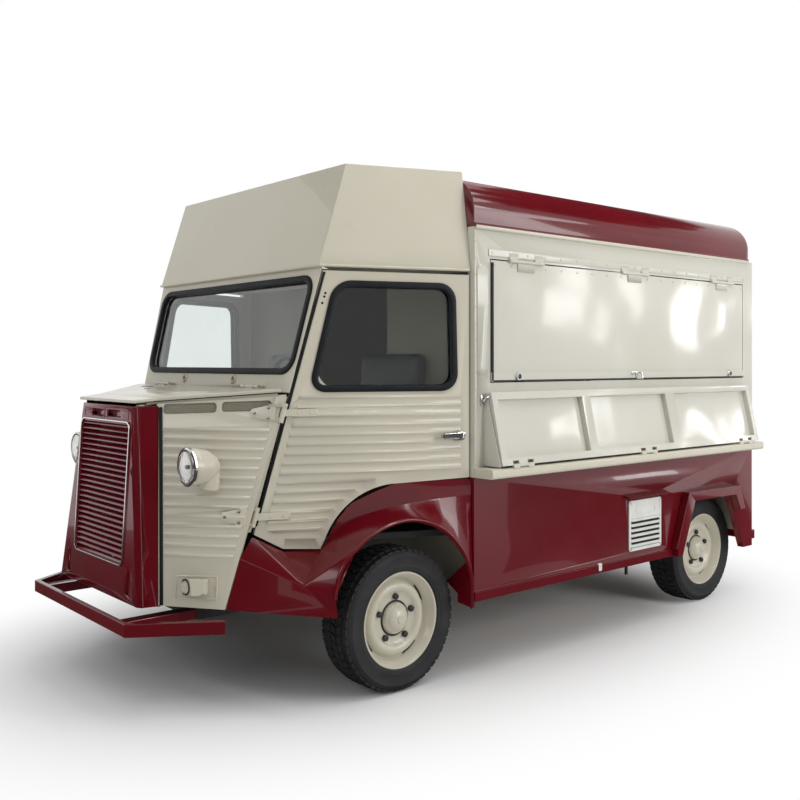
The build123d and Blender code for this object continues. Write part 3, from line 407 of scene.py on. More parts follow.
def stud(x, y, radius, height, base=0.0):
    """A domed rivet or screw head."""
    top = base + height
    profile = [(radius, base - 0.002), (radius, base + height * 0.35), (radius * 0.6, top), (0, top)]
    return turned(profile, 10, at=(x, y, 0))


def tube(points, radius, round_off=False):
    curve = bpy.data.curves.new("sweep", "CURVE")
    curve.dimensions = "3D"
    curve.bevel_depth = radius
    curve.bevel_resolution = 3
    curve.use_fill_caps = True
    line = curve.splines.new("NURBS" if round_off else "POLY")
    line.points.add(len(points) - 1)
    for dot, place in zip(line.points, points):
        dot.co = (*place, 1)
    if round_off:
        line.order_u = 3
        line.use_endpoint_u = True
    holder = bpy.data.objects.new("sweep", curve)
    mesh = bpy.data.meshes.new_from_object(holder)
    bm = bmesh.new()
    bm.from_mesh(mesh)
    bpy.data.objects.remove(holder)
    bpy.data.curves.remove(curve)
    bpy.data.meshes.remove(mesh)
    return bm


def gather(*shapes):
    """Put finished shapes into one bench mesh."""
    whole = bmesh.new()
    for shape in shapes:
        mesh = bpy.data.meshes.new("shape")
        shape.to_mesh(mesh)
        shape.free()
        whole.from_mesh(mesh)
        bpy.data.meshes.remove(mesh)
    return whole


def lay(bm, matrix):
    bmesh.ops.transform(bm, matrix=matrix, verts=bm.verts)
    return bm


def mirrored(bm):
    """The same shape on the other side of the truck."""
    other = bm.copy()
    bmesh.ops.scale(other, vec=(-1, 1, 1), verts=other.verts)
    bmesh.ops.reverse_faces(other, faces=other.faces)
    return other


def both(bm):
    return gather(mirrored(bm), bm)


def fit(name, bm, material, body="truck", sharp=38, stands_for=None):
    """Hand a bench mesh over as a finished piece of the truck."""
    for face in bm.faces:
        face.smooth = True
    mesh = bpy.data.meshes.new(name)
    bm.to_mesh(mesh)
    bm.free()
    mesh.set_sharp_from_angle(angle=math.radians(sharp))
    piece = show(name, mesh, material, body)
    if stands_for:
        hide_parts(stands_for)
    return piece


def fit_pair(name, bm, material, left, right):
    """A piece on the left and its mirror image on the right, each on its own body."""
    other = mirrored(bm)
    fit(name + "_left", bm, material, left)
    fit(name + "_right", other, material, right)


# %% [markdown]
# Every pane sits in a black rubber seal that grips both the glass and the edge of the sheet. The seal
# stands a little proud outside and again inside, which is why the far window also shows a black frame
# through the cab. The doors close on a strip of the same rubber along their raked front edge.

# %% Window seals and door rubbers
def rake_u(z):
    return RAKE_U - RAKE * (RAKE_Z - z)


def raked_strip(near, far, foot, top):
    """A strip along the door's raked edge, between two offsets and two heights."""
    return [(rake_u(z) + u, z) for u, z in ((near, foot), (far, foot), (far, top), (near, top))]


def seal(points, radius, depth):
    """An outer and an inner lip round one opening."""
    outside = ring(points, radius, 0.030, -0.012, 0.009, 0.006)
    inside = ring(points, radius, 0.030, -depth - 0.008, -depth + 0.004, 0.0)
    return gather(outside, inside)


SCREEN_STRETCH = math.hypot(1, UP_RAKE)


def on_screen(x, z):
    return (x, (z - SIGN_FOOT_Z) * SCREEN_STRETCH)


SCREEN_CORNERS = ((-0.681, 1.397), (0.681, 1.397), (0.704, 1.835), (-0.704, 1.835))
screen_line = [on_screen(x, z) for x, z in SCREEN_CORNERS]
fit("screen_seal", lay(seal(screen_line, 0.082, 0.028), SCREEN), RUBBER)
door_line = [(-0.047, 1.322), (0.658, 1.322), (0.646, 1.810), (0.070, 1.810)]
DOORS = ("door_left", "door_right")
fit_pair("door_window_seal", lay(seal(door_line, 0.080, 0.030), DOOR), RUBBER, *DOORS)
tail_line = rect(-0.268, 0.268, 1.312, 1.778)
fit("rear_window_seal", lay(seal(tail_line, 0.066, 0.024), TAIL), RUBBER, "rear_door")
edge = raked_strip(0.007, 0.019, 0.760, 1.843)
fit_pair("door_edge_rubber", lay(plate(edge, 0, -0.004, 0.003, 0.001), DOOR), RUBBER, *DOORS)
print("seal corners:", len(screen_line) + len(door_line) * 2 + len(tail_line))

# %% [markdown]
# Small steel on the cab: a drip rail under the sign box, bosses round the two wiper holes, the screws of
# the strap hinges, three holes left by a mirror bracket and a slit in the bonnet lid. The mirror holes, the
# slit and two round holes near it are thin dark plates of painted shade. None of it is large, but the eye
# reads the scale of the cab from it.

# %% Cab fittings
RAIL_Z = 1.872
RAIL = ((0.990, 0.330), (0.741, -0.330), (-0.741, -0.330), (-0.990, 0.330))
rail = [(x, AXLE_Y + s, RAIL_Z) for x, s in RAIL]
fit("drip_rail", tube(rail, 0.006), CREAM)

WIPERS = ((-0.255, 1.372), (0.215, 1.372))
BOSS = [(0.012, 0.0), (0.012, 0.006), (0.016, 0.008), (0.021, 0.005), (0.023, 0.0)]
bosses = [turned(BOSS, 24, at=(*on_screen(x, z), 0)) for x, z in WIPERS]
fit("wiper_bosses", lay(gather(*bosses), SCREEN), CREAM)

HINGES = (1.236, 0.800)
dimples = [stud(rake_u(z) + u, z, 0.007, 0.0022, 0.014) for z in HINGES for u in (0.062, 0.118)]
fit_pair("hinge_dimples", lay(gather(*dimples), DOOR), CREAM, *DOORS)
LEAF = ((-0.140, -0.016), (-0.036, -0.040), (-0.030, 0.040), (-0.140, 0.016))
LEAF_SCREWS = ((-0.122, 0.0), (-0.062, 0.022), (-0.062, -0.022))
screws = []
leaves = []
for z in HINGES:
    pin = NOSE.inverted() @ (DOOR @ Vector((rake_u(z) - 0.004, z, 0.012)))
    leaf = [(pin.x + du, pin.y + dv) for du, dv in LEAF]
    leaves.append(plate(leaf, 0.010, -0.002, 0.006, 0.002))
    for du, dv in LEAF_SCREWS:
        screws.append(stud(pin.x + du, pin.y + dv, 0.007, 0.003, 0.006))
fit("hinge_leaves", both(lay(gather(*leaves), NOSE)), CREAM)
fit("hinge_screws", both(lay(gather(*screws), NOSE)), STEEL)

# Three dark discs on the door are painted shade for the holes of the mirror bracket.
MIRROR_HOLES = ((0.032, 1.751), (0.027, 1.736), (0.018, 1.708))
HOLE_SHADE = [(0.0055, 0.0), (0.0055, 0.0006), (0, 0.0006)]
holes = [turned(HOLE_SHADE, 12, at=(u, z, 0)) for u, z in MIRROR_HOLES]
fit("mirror_holes", lay(gather(*holes), DOOR), SHADE_AND_DIAL_BLACK, "door_left")

LID_S, LID_Z, LID_THICK, LID_RISE = -0.876, 1.286, 0.014, 0.098  # station, underside, sheet, slope
LID = board((0, AXLE_Y + LID_S, LID_Z + LID_THICK), (1, 0, 0), (0, -LID_RISE, 1))
# The dark plate for the slit and the two dark discs beside it are painted shade for openings in the lid.
slit = plate(rect(-0.470, -0.350, 0.300, 0.312), 0.005, -0.001, 0.0006)
DOT_SHADE = [(0.007, -0.001), (0.007, 0.0006), (0, 0.0006)]
dots = [turned(DOT_SHADE, 14, at=(x, 0.240, 0)) for x in (-0.300, -0.262)]
fit("bonnet_slit", lay(gather(slit, *dots), LID), SHADE_AND_DIAL_BLACK, "bonnet")
print("hinge screws", len(screws) * 2)

# %% [markdown]
# The nose breathes through two slots in each cheek, closed with perforated sheet. The sheet is a grid
# whose faces are turned into thin bars, with a plain grey backing a few millimetres behind.

# %% Nose vents
CHEEK_LONG = 0.5602
VENTS = ((0.053, 0.468, -0.026), (0.507, 0.892, -0.016))  # near end, far end, middle height
meshes = []
backs = []
for near, far, height in VENTS:
    half = (far - near) / 2 * CHEEK_LONG
    centre = ((near + far) / 2 * CHEEK_LONG, height, 0)
    for group, depth in ((meshes, -0.006), (backs, -0.014)):
        bm = bmesh.new()
        bmesh.ops.create_grid(bm, x_segments=int(half * 2 / 0.007), y_segments=7, size=1.0)
        bmesh.ops.scale(bm, vec=(half + 0.006, 0.030, 1), verts=bm.verts)
        bmesh.ops.translate(bm, verts=bm.verts, vec=Vector(centre) + Vector((0, 0, depth)))
        group.append(bm)
for bm in meshes:
    bmesh.ops.wireframe(bm, faces=bm.faces, thickness=0.0028, use_replace=True, use_boundary=True)
fit("nose_mesh", both(lay(gather(*meshes), NOSE)), OLIVE_GREY, sharp=60)
fit("nose_mesh_back", both(lay(gather(*backs), NOSE)), OLIVE_GREY)
print("vents", len(meshes) * 2)

# %% [markdown]
# The joints round the nose are closed as on a real van. The cheek ends in a flange beside the door, a
# folded ledge runs under the bonnet lid, a rubber strip lies across the cowl, and a black strip packs the
# joint between the burgundy cowl and the cream cheek. The lid clears ledge and strip by a few
# millimetres.

# %% Flanges and packings
flange = raked_strip(-0.050, -0.001, 0.735, 1.305)
fit("cheek_flange", both(lay(plate(flange, 0, -0.022, -0.003), DOOR)), CREAM)
LID_GAP = 0.004
LID_EDGE = [(0.289, -0.920), (0.300, -0.880), (0.664, -0.496)]


def curtain(line, drop, thick):
    """A thin upright sheet that hangs just below the bonnet lid."""
    bm = bmesh.new()
    lid = [LID_Z + LID_RISE * (s - LID_S) - LID_GAP for _, s in line]
    spots = [(x, AXLE_Y + s, z) for (x, s), z in zip(line, lid)]
    top, foot = [[bm.verts.new((x, y, z - down)) for x, y, z in spots] for down in (0, drop)]
    for corners in zip(top, top[1:], foot[1:], foot):
        bm.faces.new(corners)
    bmesh.ops.solidify(bm, geom=bm.faces[:], thickness=thick)
    bmesh.ops.recalc_face_normals(bm, faces=bm.faces[:])
    return bm


fit("bonnet_ledge", both(curtain(LID_EDGE, 0.009, 0.003)), CREAM)
COWL_EDGE = [(0.0, -0.955), (0.262, -0.955)]
fit("bonnet_rubber", both(curtain(COWL_EDGE, 0.014, 0.003)), RUBBER)
# A dark plate behind the foot of each door is painted shade for the opening between door and wing.
FOOT_U = rake_u(0.72)
foot_shade = plate(rect(FOOT_U - 0.03, FOOT_U + 0.22, 0.640, 0.800), 0, -0.085, -0.080)
fit("door_foot_gap", both(lay(foot_shade, DOOR)), SHADE_AND_DIAL_BLACK)
packing = [(0.450, AXLE_Y - 0.930, 0.446), (0.316, AXLE_Y - 0.866, 1.258)]
fit("cowl_packing", both(tube(packing, 0.008)), RUBBER)
print("lid ledge corners", len(LID_EDGE) * 2)

# %% [markdown]
# A front wing is pressed in two parts: a crown that sweeps from the foot of the door out to the arch, and
# a folded skirt ahead of it. The crown is two curved rows of points bridged into one sheet, which is how
# a ruled panel is beaten. The skirt is flat faces on shared corners. A rolled lip stiffens the arch.

# %% Front wings
def door_x(s):
    return DOOR_X + (s - DOOR_S) * DOOR_SLOPE


def lip_x(s):
    return 0.940 + (s + 0.388) / 0.733 * 0.060


def row(bm, points, width):
    """A run of joined points at stations and heights, out at the given half width."""
    dots = [bm.verts.new((width(s), AXLE_Y + s, z)) for s, z in points]
    return [bm.edges.new(pair) for pair in zip(dots, dots[1:])]


CREASE = [(-0.372, 0.540), (-0.359, 0.570), (-0.341, 0.603), (-0.310, 0.654), (-0.265, 0.701),
          (-0.206, 0.749), (-0.130, 0.786), (-0.020, 0.812), (0.103, 0.828), (0.166, 0.835),
          (0.225, 0.840), (0.285, 0.844), (0.342, 0.846), (0.343, 0.700), (0.343, 0.520)]
LIP = [(-0.398, 0.480), (-0.390, 0.536), (-0.374, 0.587), (-0.350, 0.626), (-0.316, 0.661), (-0.200, 0.740),
       (-0.060, 0.775), (0.035, 0.768), (0.120, 0.742), (0.190, 0.702), (0.250, 0.647), (0.305, 0.575),
       (0.338, 0.490), (0.342, 0.420), (0.342, 0.340)]
crown = bmesh.new()
inner = row(crown, CREASE, lambda s: door_x(s) - 0.001)
outer = row(crown, LIP, lip_x)
bmesh.ops.bridge_loops(crown, edges=inner + outer)
shelf_row = row(crown, [(s, z - 0.016) for s, z in LIP], lambda s: lip_x(s) - 0.014)
bmesh.ops.bridge_loops(crown, edges=outer + shelf_row)
bmesh.ops.subdivide_edges(crown, edges=crown.edges, cuts=1, use_grid_fill=True)
SKIRT = dict(a=(0.632, -0.604, 0.716), h=(0.678, -0.475, 0.645), g=(0.733, -0.327, 0.638),
             j=(0.757, -0.265, 0.701), b=(0.650, -0.675, 0.637), c=(0.641, -0.737, 0.432),
             d=(lip_x(-0.384), -0.384, 0.398), e=(lip_x(-0.398), -0.398, 0.480),
             f=(0.842, -0.489, 0.532), q=(lip_x(-0.316), -0.316, 0.661))
skirt = bmesh.new()
corner = {k: skirt.verts.new((x, AXLE_Y + s, z)) for k, (x, s, z) in SKIRT.items()}
for face in ("abf", "afh", "hfg", "feq", "fqg", "gqj", "bcf", "cdf", "def"):
    skirt.faces.new([corner[k] for k in face])
bmesh.ops.recalc_face_normals(skirt, faces=skirt.faces)
folds = [e for e in skirt.edges if e.calc_face_angle(0) > 0.15]
bmesh.ops.bevel(skirt, geom=folds, offset=0.006, segments=2, profile=0.5, affect="EDGES", material=-1)
WALL = [(0.722, 0.920), (0.372, 0.920), (0.250, 0.878), (0.150, 0.836), (0.090, 0.772), (0.050, 0.702),
        (0.036, 0.664), (0.074, 0.701), (0.218, 0.786), (0.467, 0.828), (0.597, 0.840), (0.722, 0.846)]
wing_wall = lay(plate(WALL, 0, -0.010, -0.001), DOOR)
for sheet in (crown, skirt):
    bmesh.ops.recalc_face_normals(sheet, faces=sheet.faces)
    bmesh.ops.solidify(sheet, geom=sheet.faces[:], thickness=0.004)
roll = tube([(lip_x(s) - 0.003, AXLE_Y + s, z - 0.004) for s, z in LIP], 0.009, True)
wing = gather(crown, skirt, roll, wing_wall)
fit("front_wings_pressed", both(wing), BURGUNDY, sharp=50, stands_for="front_wings")
print("wing crown rows of", len(CREASE), "points")

# %% [markdown]
# A head lamp is a spun steel bowl with a bright rim, a silvered reflector, a small bulb and a domed
# fluted glass. The bowl and rim are in the frame. The reflector, bulb and glass are turned here about the
# lamp's own axis, which looks straight ahead. The turn lamps are plain clear domes in a dark ring. A
# pressed surround frames each turn lamp, and two shallow pressings mark the top of the cowl.

# %% Lamps
def span_of(node, keep):
    """The corner box of those points of a node that pass a test."""
    found = [v.co for v in NODES[node].data.vertices if keep(v.co)]
    return Vector(map(min, *found)), Vector(map(max, *found))


low, high = span_of("lamp_lenses", lambda p: p.x > 0 and p.z > 0.8)
HEAD = board(((low.x + high.x) / 2, high.y, (low.z + high.z) / 2), (1, 0, 0), (0, -1, 0))
reflector = turned([(0.067, 0.009), (0.055, 0.006), (0.030, 0.003), (0.0, 0.002)], 40)
bulb = turned([(0.009, 0.002), (0.009, 0.007), (0.006, 0.011), (0.0, 0.012)], 16)
dome = turned([(0.069, 0.009), (0.066, 0.013), (0.056, 0.017), (0.038, 0.0205), (0.018, 0.022), (0.0, 0.022),
               (0.0, 0.0195), (0.018, 0.0195), (0.038, 0.018), (0.056, 0.0145), (0.064, 0.0095)], 48,
              closed=True)
fit("lamp_reflectors", both(lay(reflector, HEAD)), CHROME)
fit("lamp_bulbs", both(lay(bulb, HEAD)), BLACK_PLASTIC)
low, high = span_of("lamp_lenses", lambda p: p.x > 0 and p.z < 0.8)
TURN = board(((low.x + high.x) / 2, high.y, (low.z + high.z) / 2), (1, 0, 0), (0, -1, 0))
turn_dome = turned([(0.027, 0.0), (0.026, 0.006), (0.022, 0.012), (0.022, 0.0135), (0.015, 0.020),
                    (0.0, 0.024)], 32)
turn_ring = turned([(0.034, -0.002), (0.034, 0.003), (0.031, 0.005), (0.0275, 0.004), (0.0275, -0.002)], 32)
domes = gather(lay(dome, HEAD), lay(turn_dome, TURN))
fit("lamp_glass_domes", both(domes), LAMP_GLASS, stands_for="lamp_lenses")
fit("turn_lamp_rings", both(lay(turn_ring, TURN)), BLACK_PLASTIC)
foot = NOSE.inverted() @ TURN.translation
surround = rect(foot.x - 0.055, foot.x + 0.125, foot.y - 0.052, foot.y + 0.046)
pressing = ring(surround, 0.012, 0.007, -0.002, 0.004, 0.003)
plate_screws = [stud(foot.x + du, foot.y - 0.004, 0.005, 0.002) for du in (-0.042, 0.112)]
fit("turn_lamp_plates", both(lay(gather(pressing, *plate_screws), NOSE)), CREAM)
PANEL_WIDE = 0.222
panel_lines = [rect(x, x + PANEL_WIDE, -0.063, -0.016) for x in (-0.234, 0.012)]
panels = [ring(line, 0.008, 0.005, -0.002, 0.0016, 0.0012) for line in panel_lines]
fit("cowl_pressings", lay(gather(*panels), COWL), BURGUNDY)
print("lamps at", [round(c, 3) for c in HEAD.translation], [round(c, 3) for c in TURN.translation])

# %% [markdown]
# The wheels are pressed steel discs in a rolled rim, with five black nuts and a domed cap. One profile,
# spun once, gives lip, well, crown and recess. The tyre is a spun carcass with rows of slanted tread
# blocks cut by grooves: one slice of blocks is drawn flat, laid on the crown and repeated round the axle.

# %% Wheels
RIM_PROFILE = [
    (0.212, 0.086), (0.206, 0.086), (0.201, 0.082), (0.197, 0.070), (0.191, 0.062), (0.186, 0.050),
    (0.181, 0.034), (0.174, 0.029), (0.168, 0.033), (0.161, 0.047), (0.151, 0.056), (0.139, 0.058),
    (0.127, 0.055), (0.117, 0.045), (0.109, 0.040), (0.082, 0.038), (0.064, 0.038), (0.064, 0.030),
    (0.110, 0.032), (0.150, 0.046), (0.168, 0.022), (0.180, -0.010), (0.186, -0.040), (0.196, -0.066),
    (0.203, -0.082), (0.207, -0.086), (0.212, -0.086),
]
CAP_PROFILE = [(0.067, 0.036), (0.070, 0.041), (0.068, 0.050), (0.061, 0.058), (0.058, 0.058), (0.055, 0.062),
               (0.048, 0.071), (0.034, 0.078), (0.018, 0.082), (0.015, 0.086), (0.0, 0.086)]
CARCASS = [(0.213, 0.086), (0.220, 0.092), (0.232, 0.0935), (0.234, 0.0955), (0.238, 0.0945), (0.258, 0.0965),
           (0.278, 0.0955), (0.281, 0.0965), (0.285, 0.0945), (0.297, 0.089), (0.304, 0.081),
           (0.308, 0.070), (0.309, 0.0)]
TREAD = [(-0.083, -0.060, 0.008, 0.0045), (-0.054, -0.022, -0.016, 0.010), (-0.016, 0.016, 0.016, 0.010),
         (0.022, 0.054, -0.016, 0.010), (0.060, 0.083, 0.008, 0.0045)]  # from, to, slant, height
PITCHES = 50
BLOCK_HALF = 0.0145
NUT_RADIUS, NUT_CIRCLE = 0.0145, 0.097


def wheel_disc():
    cap = turned(CAP_PROFILE, 40)
    return gather(turned(RIM_PROFILE, 72, closed=True), cap)


def wheel_nuts_and_shade():
    # The thin dark ring round the cap and the four dark arcs in the well of the rim are painted shade; the
    # five nuts are black.
    shapes = [turned([(0.071, 0.0382), (0.071, 0.0392), (0.080, 0.0392), (0.080, 0.0382)], 40)]
    sixths = [a * math.tau / 6 for a in range(6)]
    hexagon = [(NUT_RADIUS * math.cos(a), NUT_RADIUS * math.sin(a)) for a in sixths]
    for i in range(5):
        nut = plate(hexagon, 0, 0.036, 0.054, 0.002)
        spoke = Matrix.Rotation(math.tau * i / 5 + 0.3, 4, "Z")
        shapes.append(lay(nut, spoke @ Matrix.Translation((NUT_CIRCLE, 0, 0))))
    for i in range(4):
        arc = [math.radians(15 * (k / 4 - 1)) for k in range(9)]
        line = [(0.1785 * math.cos(a), 0.1785 * math.sin(a)) for a in arc]
        line += [(0.172 * math.cos(a * 0.7), 0.172 * math.sin(a * 0.7)) for a in reversed(arc)]
        shapes.append(lay(plate(line, 0, 0.026, 0.0345), Matrix.Rotation(math.tau * (i + 0.35) / 4, 4, "Z")))
    return gather(*shapes)


def tyre():
    half = CARCASS + [(r, -h) for r, h in reversed(CARCASS[:-1])]
    carcass = turned(half, 96, closed=True)
    crown_board = board((0.305, 0, 0), (0, 1, 0), (1, 0, 0))
    blocks = []
    for z0, z1, slant, height in TREAD:
        lean = slant / 2
        line = [(-BLOCK_HALF - lean, z0), (BLOCK_HALF - lean, z0),
                (BLOCK_HALF + lean, z1), (-BLOCK_HALF + lean, z1)]
        blocks.append(lay(plate(line, 0, -0.010, height), crown_board))
    slice_ = gather(*blocks)
    turn = math.tau / PITCHES
    everything = slice_.verts[:] + slice_.edges[:] + slice_.faces[:]
    bmesh.ops.spin(slice_, geom=everything, axis=(0, 0, 1), cent=(0, 0, 0), angle=math.tau - turn,
                   steps=PITCHES - 1, use_duplicate=True)
    return gather(carcass, slice_)


def mount(maker, centre, right):
    bm = lay(maker(), board((abs(centre.x), centre.y, centre.z), (0, 1, 0), (1, 0, 0)))
    return mirrored(bm) if right else bm


for end in ("front", "rear"):
    for side in ("left", "right"):
        name = f"{end}_{side}"
        body = BODY_OF["tyre_" + name]
        centre = middle("tyre_" + name)
        right = side == "right"
        fit("wheel_" + name, mount(wheel_disc, centre, right), CREAM, body, stands_for="rim_" + name)
        fit("wheel_darks_" + name, mount(wheel_nuts_and_shade, centre, right), BLACK_STEEL, body)
        fit("tyre_tread_" + name, mount(tyre, centre, right), TYRE, body, 30, stands_for="tyre_" + name)
print("tread blocks on each tyre:", len(TREAD) * PITCHES)

# %% [markdown]
# The serving side is where the truck earns its keep: a lifting hatch on a long riveted hinge, a folding
# counter on the ledge and a louvred vent for the machinery. Rivets stand every hand's width on the hinge
# strips and the corner post. The vent's blank top plate and slats are thin white metal; behind them a dark
# plate is painted shade for the hole.

# %% Serving side
def rivets(s0, s1, step, z, base, radius=0.006):
    count = int((s1 - s0) / step)
    return [stud(s0 + (s1 - s0) * i / count, z, radius, 0.003, base) for i in range(count + 1)]


strip = plate(rect(0.440, 2.716, 1.944, 1.978), 0.004, -0.001, 0.005, 0.002)
fit("hinge_strip", lay(gather(strip, *rivets(0.46, 2.70, 0.118, 1.961, 0.005)), SIDE), CREAM_SHEET)
gutter = plate(rect(0.348, 2.752, 2.062, 2.079), 0.003, -0.002, 0.017, 0.003)
fit("roof_gutter", both(lay(gutter, SIDE)), CREAM)
post = plate(rect(0.346, 0.359, 0.985, 2.055), 0.002, -0.001, 0.004, 0.001)
pegs = [stud(0.3525, 1.03 + 0.075 * i, 0.005, 0.0025, 0.004) for i in range(14)]
fit("corner_post_strip", both(lay(gather(post, *pegs), SIDE)), CREAM)

BAND = 0.007  # how far the band along the hatch stands out
fit("hatch_rivets", lay(gather(*rivets(0.48, 2.68, 0.118, 1.905, 0.0)), SIDE), CREAM_SHEET, "hatch")
left_line = plate(rect(0.4575, 0.4685, 1.366, 1.915), 0.002, -0.003, BAND + 0.0008)
foot_line = plate(rect(0.4685, 2.699, 1.3635, 1.3685), 0.001, -0.003, BAND + 0.0008)
fit("hatch_rubber", lay(gather(left_line, foot_line), SIDE), RUBBER, "hatch")

triangle = [(0.0, 0.976), (0.104, 0.976), (0.020, 1.300), (0.0, 1.300)]
cheek_board = board((BODY_X, AXLE_Y + 0.412, 0), (1, 0, 0), (0, -1, 0))
fit("shelf_cheek", lay(plate(triangle, 0.006, -0.002, 0.002), cheek_board), CREAM_SHEET)
latch_base = plate(rect(0.384, 0.416, 1.252, 1.302), 0.008, -0.001, 0.006, 0.002)
latch_bar = tube([(0.392, 1.262, 0.010), (0.396, 1.286, 0.022), (0.412, 1.292, 0.024)], 0.005, True)
fit("shelf_latch", lay(gather(latch_base, latch_bar), SIDE), CHROME)

clip_base = plate(rect(1.254, 1.282, 0.372, 0.412), 0.006, -0.001, 0.010, 0.003)
clip = gather(clip_base, stud(1.268, 0.400, 0.006, 0.004, 0.010))
fit("sill_clip", lay(clip, SIDE), WHITE_PLASTIC)
drain = [(0.850, AXLE_Y + 1.720, z) for z in (0.350, 0.262)]
fit("drain_pipe", tube(drain, 0.009), BLACK_PLASTIC)

S0, S1, Z0, Z1 = 1.524, 1.823, 0.436, 0.708
vent_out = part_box("side_vent")[1].x - BODY_X
frame_ring = ring(rect(S0, S1, Z0, Z1), 0.012, 0.018, 0.0, vent_out, 0.003)
cover = plate(rect(S0 + 0.016, S1 - 0.016, Z1 - 0.098, Z1 - 0.016), 0.002, 0.0, vent_out * 0.7)
oval_line = rect(S0 + 0.060, S1 - 0.060, Z1 - 0.078, Z1 - 0.034)
oval = ring(oval_line, 0.021, 0.004, vent_out * 0.6, vent_out * 0.7 + 0.002)
SLATS, SLAT_STEP, SLAT_TILT = 6, 0.0275, math.radians(-40)
slats = []
for i in range(SLATS):
    slat = plate(rect(S0 + 0.016, S1 - 0.016, -0.011, 0.011), 0.0, -0.0012, 0.0012)
    place = Matrix.Translation((0, Z0 + 0.031 + SLAT_STEP * i, vent_out * 0.45))
    slats.append(lay(slat, place @ Matrix.Rotation(SLAT_TILT, 4, "X")))
louvres = gather(frame_ring, cover, oval, *slats)
fit("vent_louvres", lay(louvres, SIDE), WHITE_PLASTIC, stands_for="side_vent")
# The dark plate behind the slats is painted shade: it stands for the shadowed hole of the vent.
hole = plate(rect(S0 + 0.006, S1 - 0.006, Z0 + 0.006, Z1 - 0.006), 0.004, -0.002, 0.001)
fit("vent_dark", lay(hole, SIDE), SHADE_AND_DIAL_BLACK)
print("vent stands", round(vent_out * 1000), "mm off the wall")

# %% [markdown]
# The hatch has two black round locks, each in a bright collar, and a wire pull in the middle. At the
# back, the red lenses sit in black bezels.

# %% Locks and bezels
LOCKS = ((0.636, 1.385, 0), (2.532, 1.385, 0))
pull = tube([(1.548, 1.396, BAND + 0.004), (1.550, 1.396, BAND + 0.020), (1.550, 1.366, BAND + 0.026),
             (1.606, 1.366, BAND + 0.026), (1.606, 1.396, BAND + 0.020),
             (1.608, 1.396, BAND + 0.004)], 0.0045)
pull_plate = plate(rect(1.540, 1.616, 1.386, 1.404), 0.006, BAND - 0.002, BAND + 0.004, 0.0015)
COLLAR = [(0.013, BAND - 0.002), (0.013, BAND + 0.012), (0.017, BAND + 0.012), (0.020, BAND - 0.002)]
collars = [turned(COLLAR, 28, at=place) for place in LOCKS]
fit("hatch_pull", lay(gather(pull, pull_plate, *collars), SIDE), CHROME, "hatch", stands_for="hatch_handle")
CORE = [(0.0128, BAND), (0.0128, BAND + 0.009), (0.010, BAND + 0.011), (0.0, BAND + 0.011)]
cores = [turned(CORE, 24, at=place) for place in LOCKS]
fit("hatch_locks", lay(gather(*cores), SIDE), BLACK_PLASTIC, "hatch")
bezel_lines = [rect(x - 0.050, x + 0.050, 0.794, 0.906) for x in (-0.8, 0.8)]
bezels = [ring(line, 0.012, 0.009, 0.0, 0.036, 0.003) for line in bezel_lines]
fit("tail_lamp_bezels", lay(gather(*bezels), TAIL), BLACK_PLASTIC)
print("locks", len(cores), "collars", len(collars))

# %% [markdown]
# The two cab seats are foam pads in black leathercloth on a steel box. Each pad starts as a block with
# rounded edges, is cut finer, crowned in the middle and drawn in along sewn channels, which is what the
# tension of a cover does to foam.

# %% Seats
def pad(width, depth, height, channels):
    bm = bmesh.new()
    bmesh.ops.create_cube(bm, size=1.0)
    bmesh.ops.scale(bm, vec=(width, depth, height), verts=bm.verts)
    bmesh.ops.bevel(bm, geom=bm.edges[:], offset=height * 0.38, segments=3, profile=0.5,
                    affect="EDGES", material=-1)
    long_edges = [e for e in bm.edges if e.calc_length() > 0.05]
    bmesh.ops.subdivide_edges(bm, edges=long_edges, cuts=11, use_grid_fill=True)
    for v in bm.verts:
        u, w = v.co.x / width * 2, v.co.y / depth * 2
        swell = (1 - u * u) * (1 - w * w)
        groove = max(0.0, math.cos(u * math.pi * channels)) ** 6
        v.co.z += (0.026 * swell - 0.007 * groove * (1 - abs(w))) if v.co.z > 0 else 0.0
        v.co.x *= 1 - 0.03 * (1 - w * w)
    bmesh.ops.smooth_vert(bm, verts=bm.verts, factor=0.4,
                          use_axis_x=True, use_axis_y=True, use_axis_z=True)
    bmesh.ops.recalc_face_normals(bm, faces=bm.faces)
    return bm


SEAT_X, SEAT_Y = 0.430, AXLE_Y + 0.155
cushion_place = Matrix.Translation((SEAT_X, SEAT_Y, 0.922))
back_turn = Matrix.Rotation(math.radians(84), 4, "X")
back_place = Matrix.Translation((SEAT_X, AXLE_Y + 0.330, 1.235)) @ back_turn
cushion = lay(pad(0.450, 0.440, 0.090, 2), cushion_place)
pads = gather(cushion, lay(pad(0.440, 0.520, 0.085, 2), back_place))
fit("seat_pads", both(pads), LEATHERCLOTH, sharp=80, stands_for="seats")
seat_board = board((SEAT_X, SEAT_Y, 0), (1, 0, 0), (0, 0, 1))
box_part = plate(rect(-0.200, 0.200, -0.175, 0.175), 0.03, 0.691, 0.878, 0.006)
fit("seat_boxes", both(lay(box_part, seat_board)), BLACK_STEEL)
print("seats at x", SEAT_X, "and", -SEAT_X)

# %% [markdown]
# On the dashboard a small pod holds two round dials in front of the driver. Through the windscreen only
# their rims show, so each is a turned ring over a dark face.

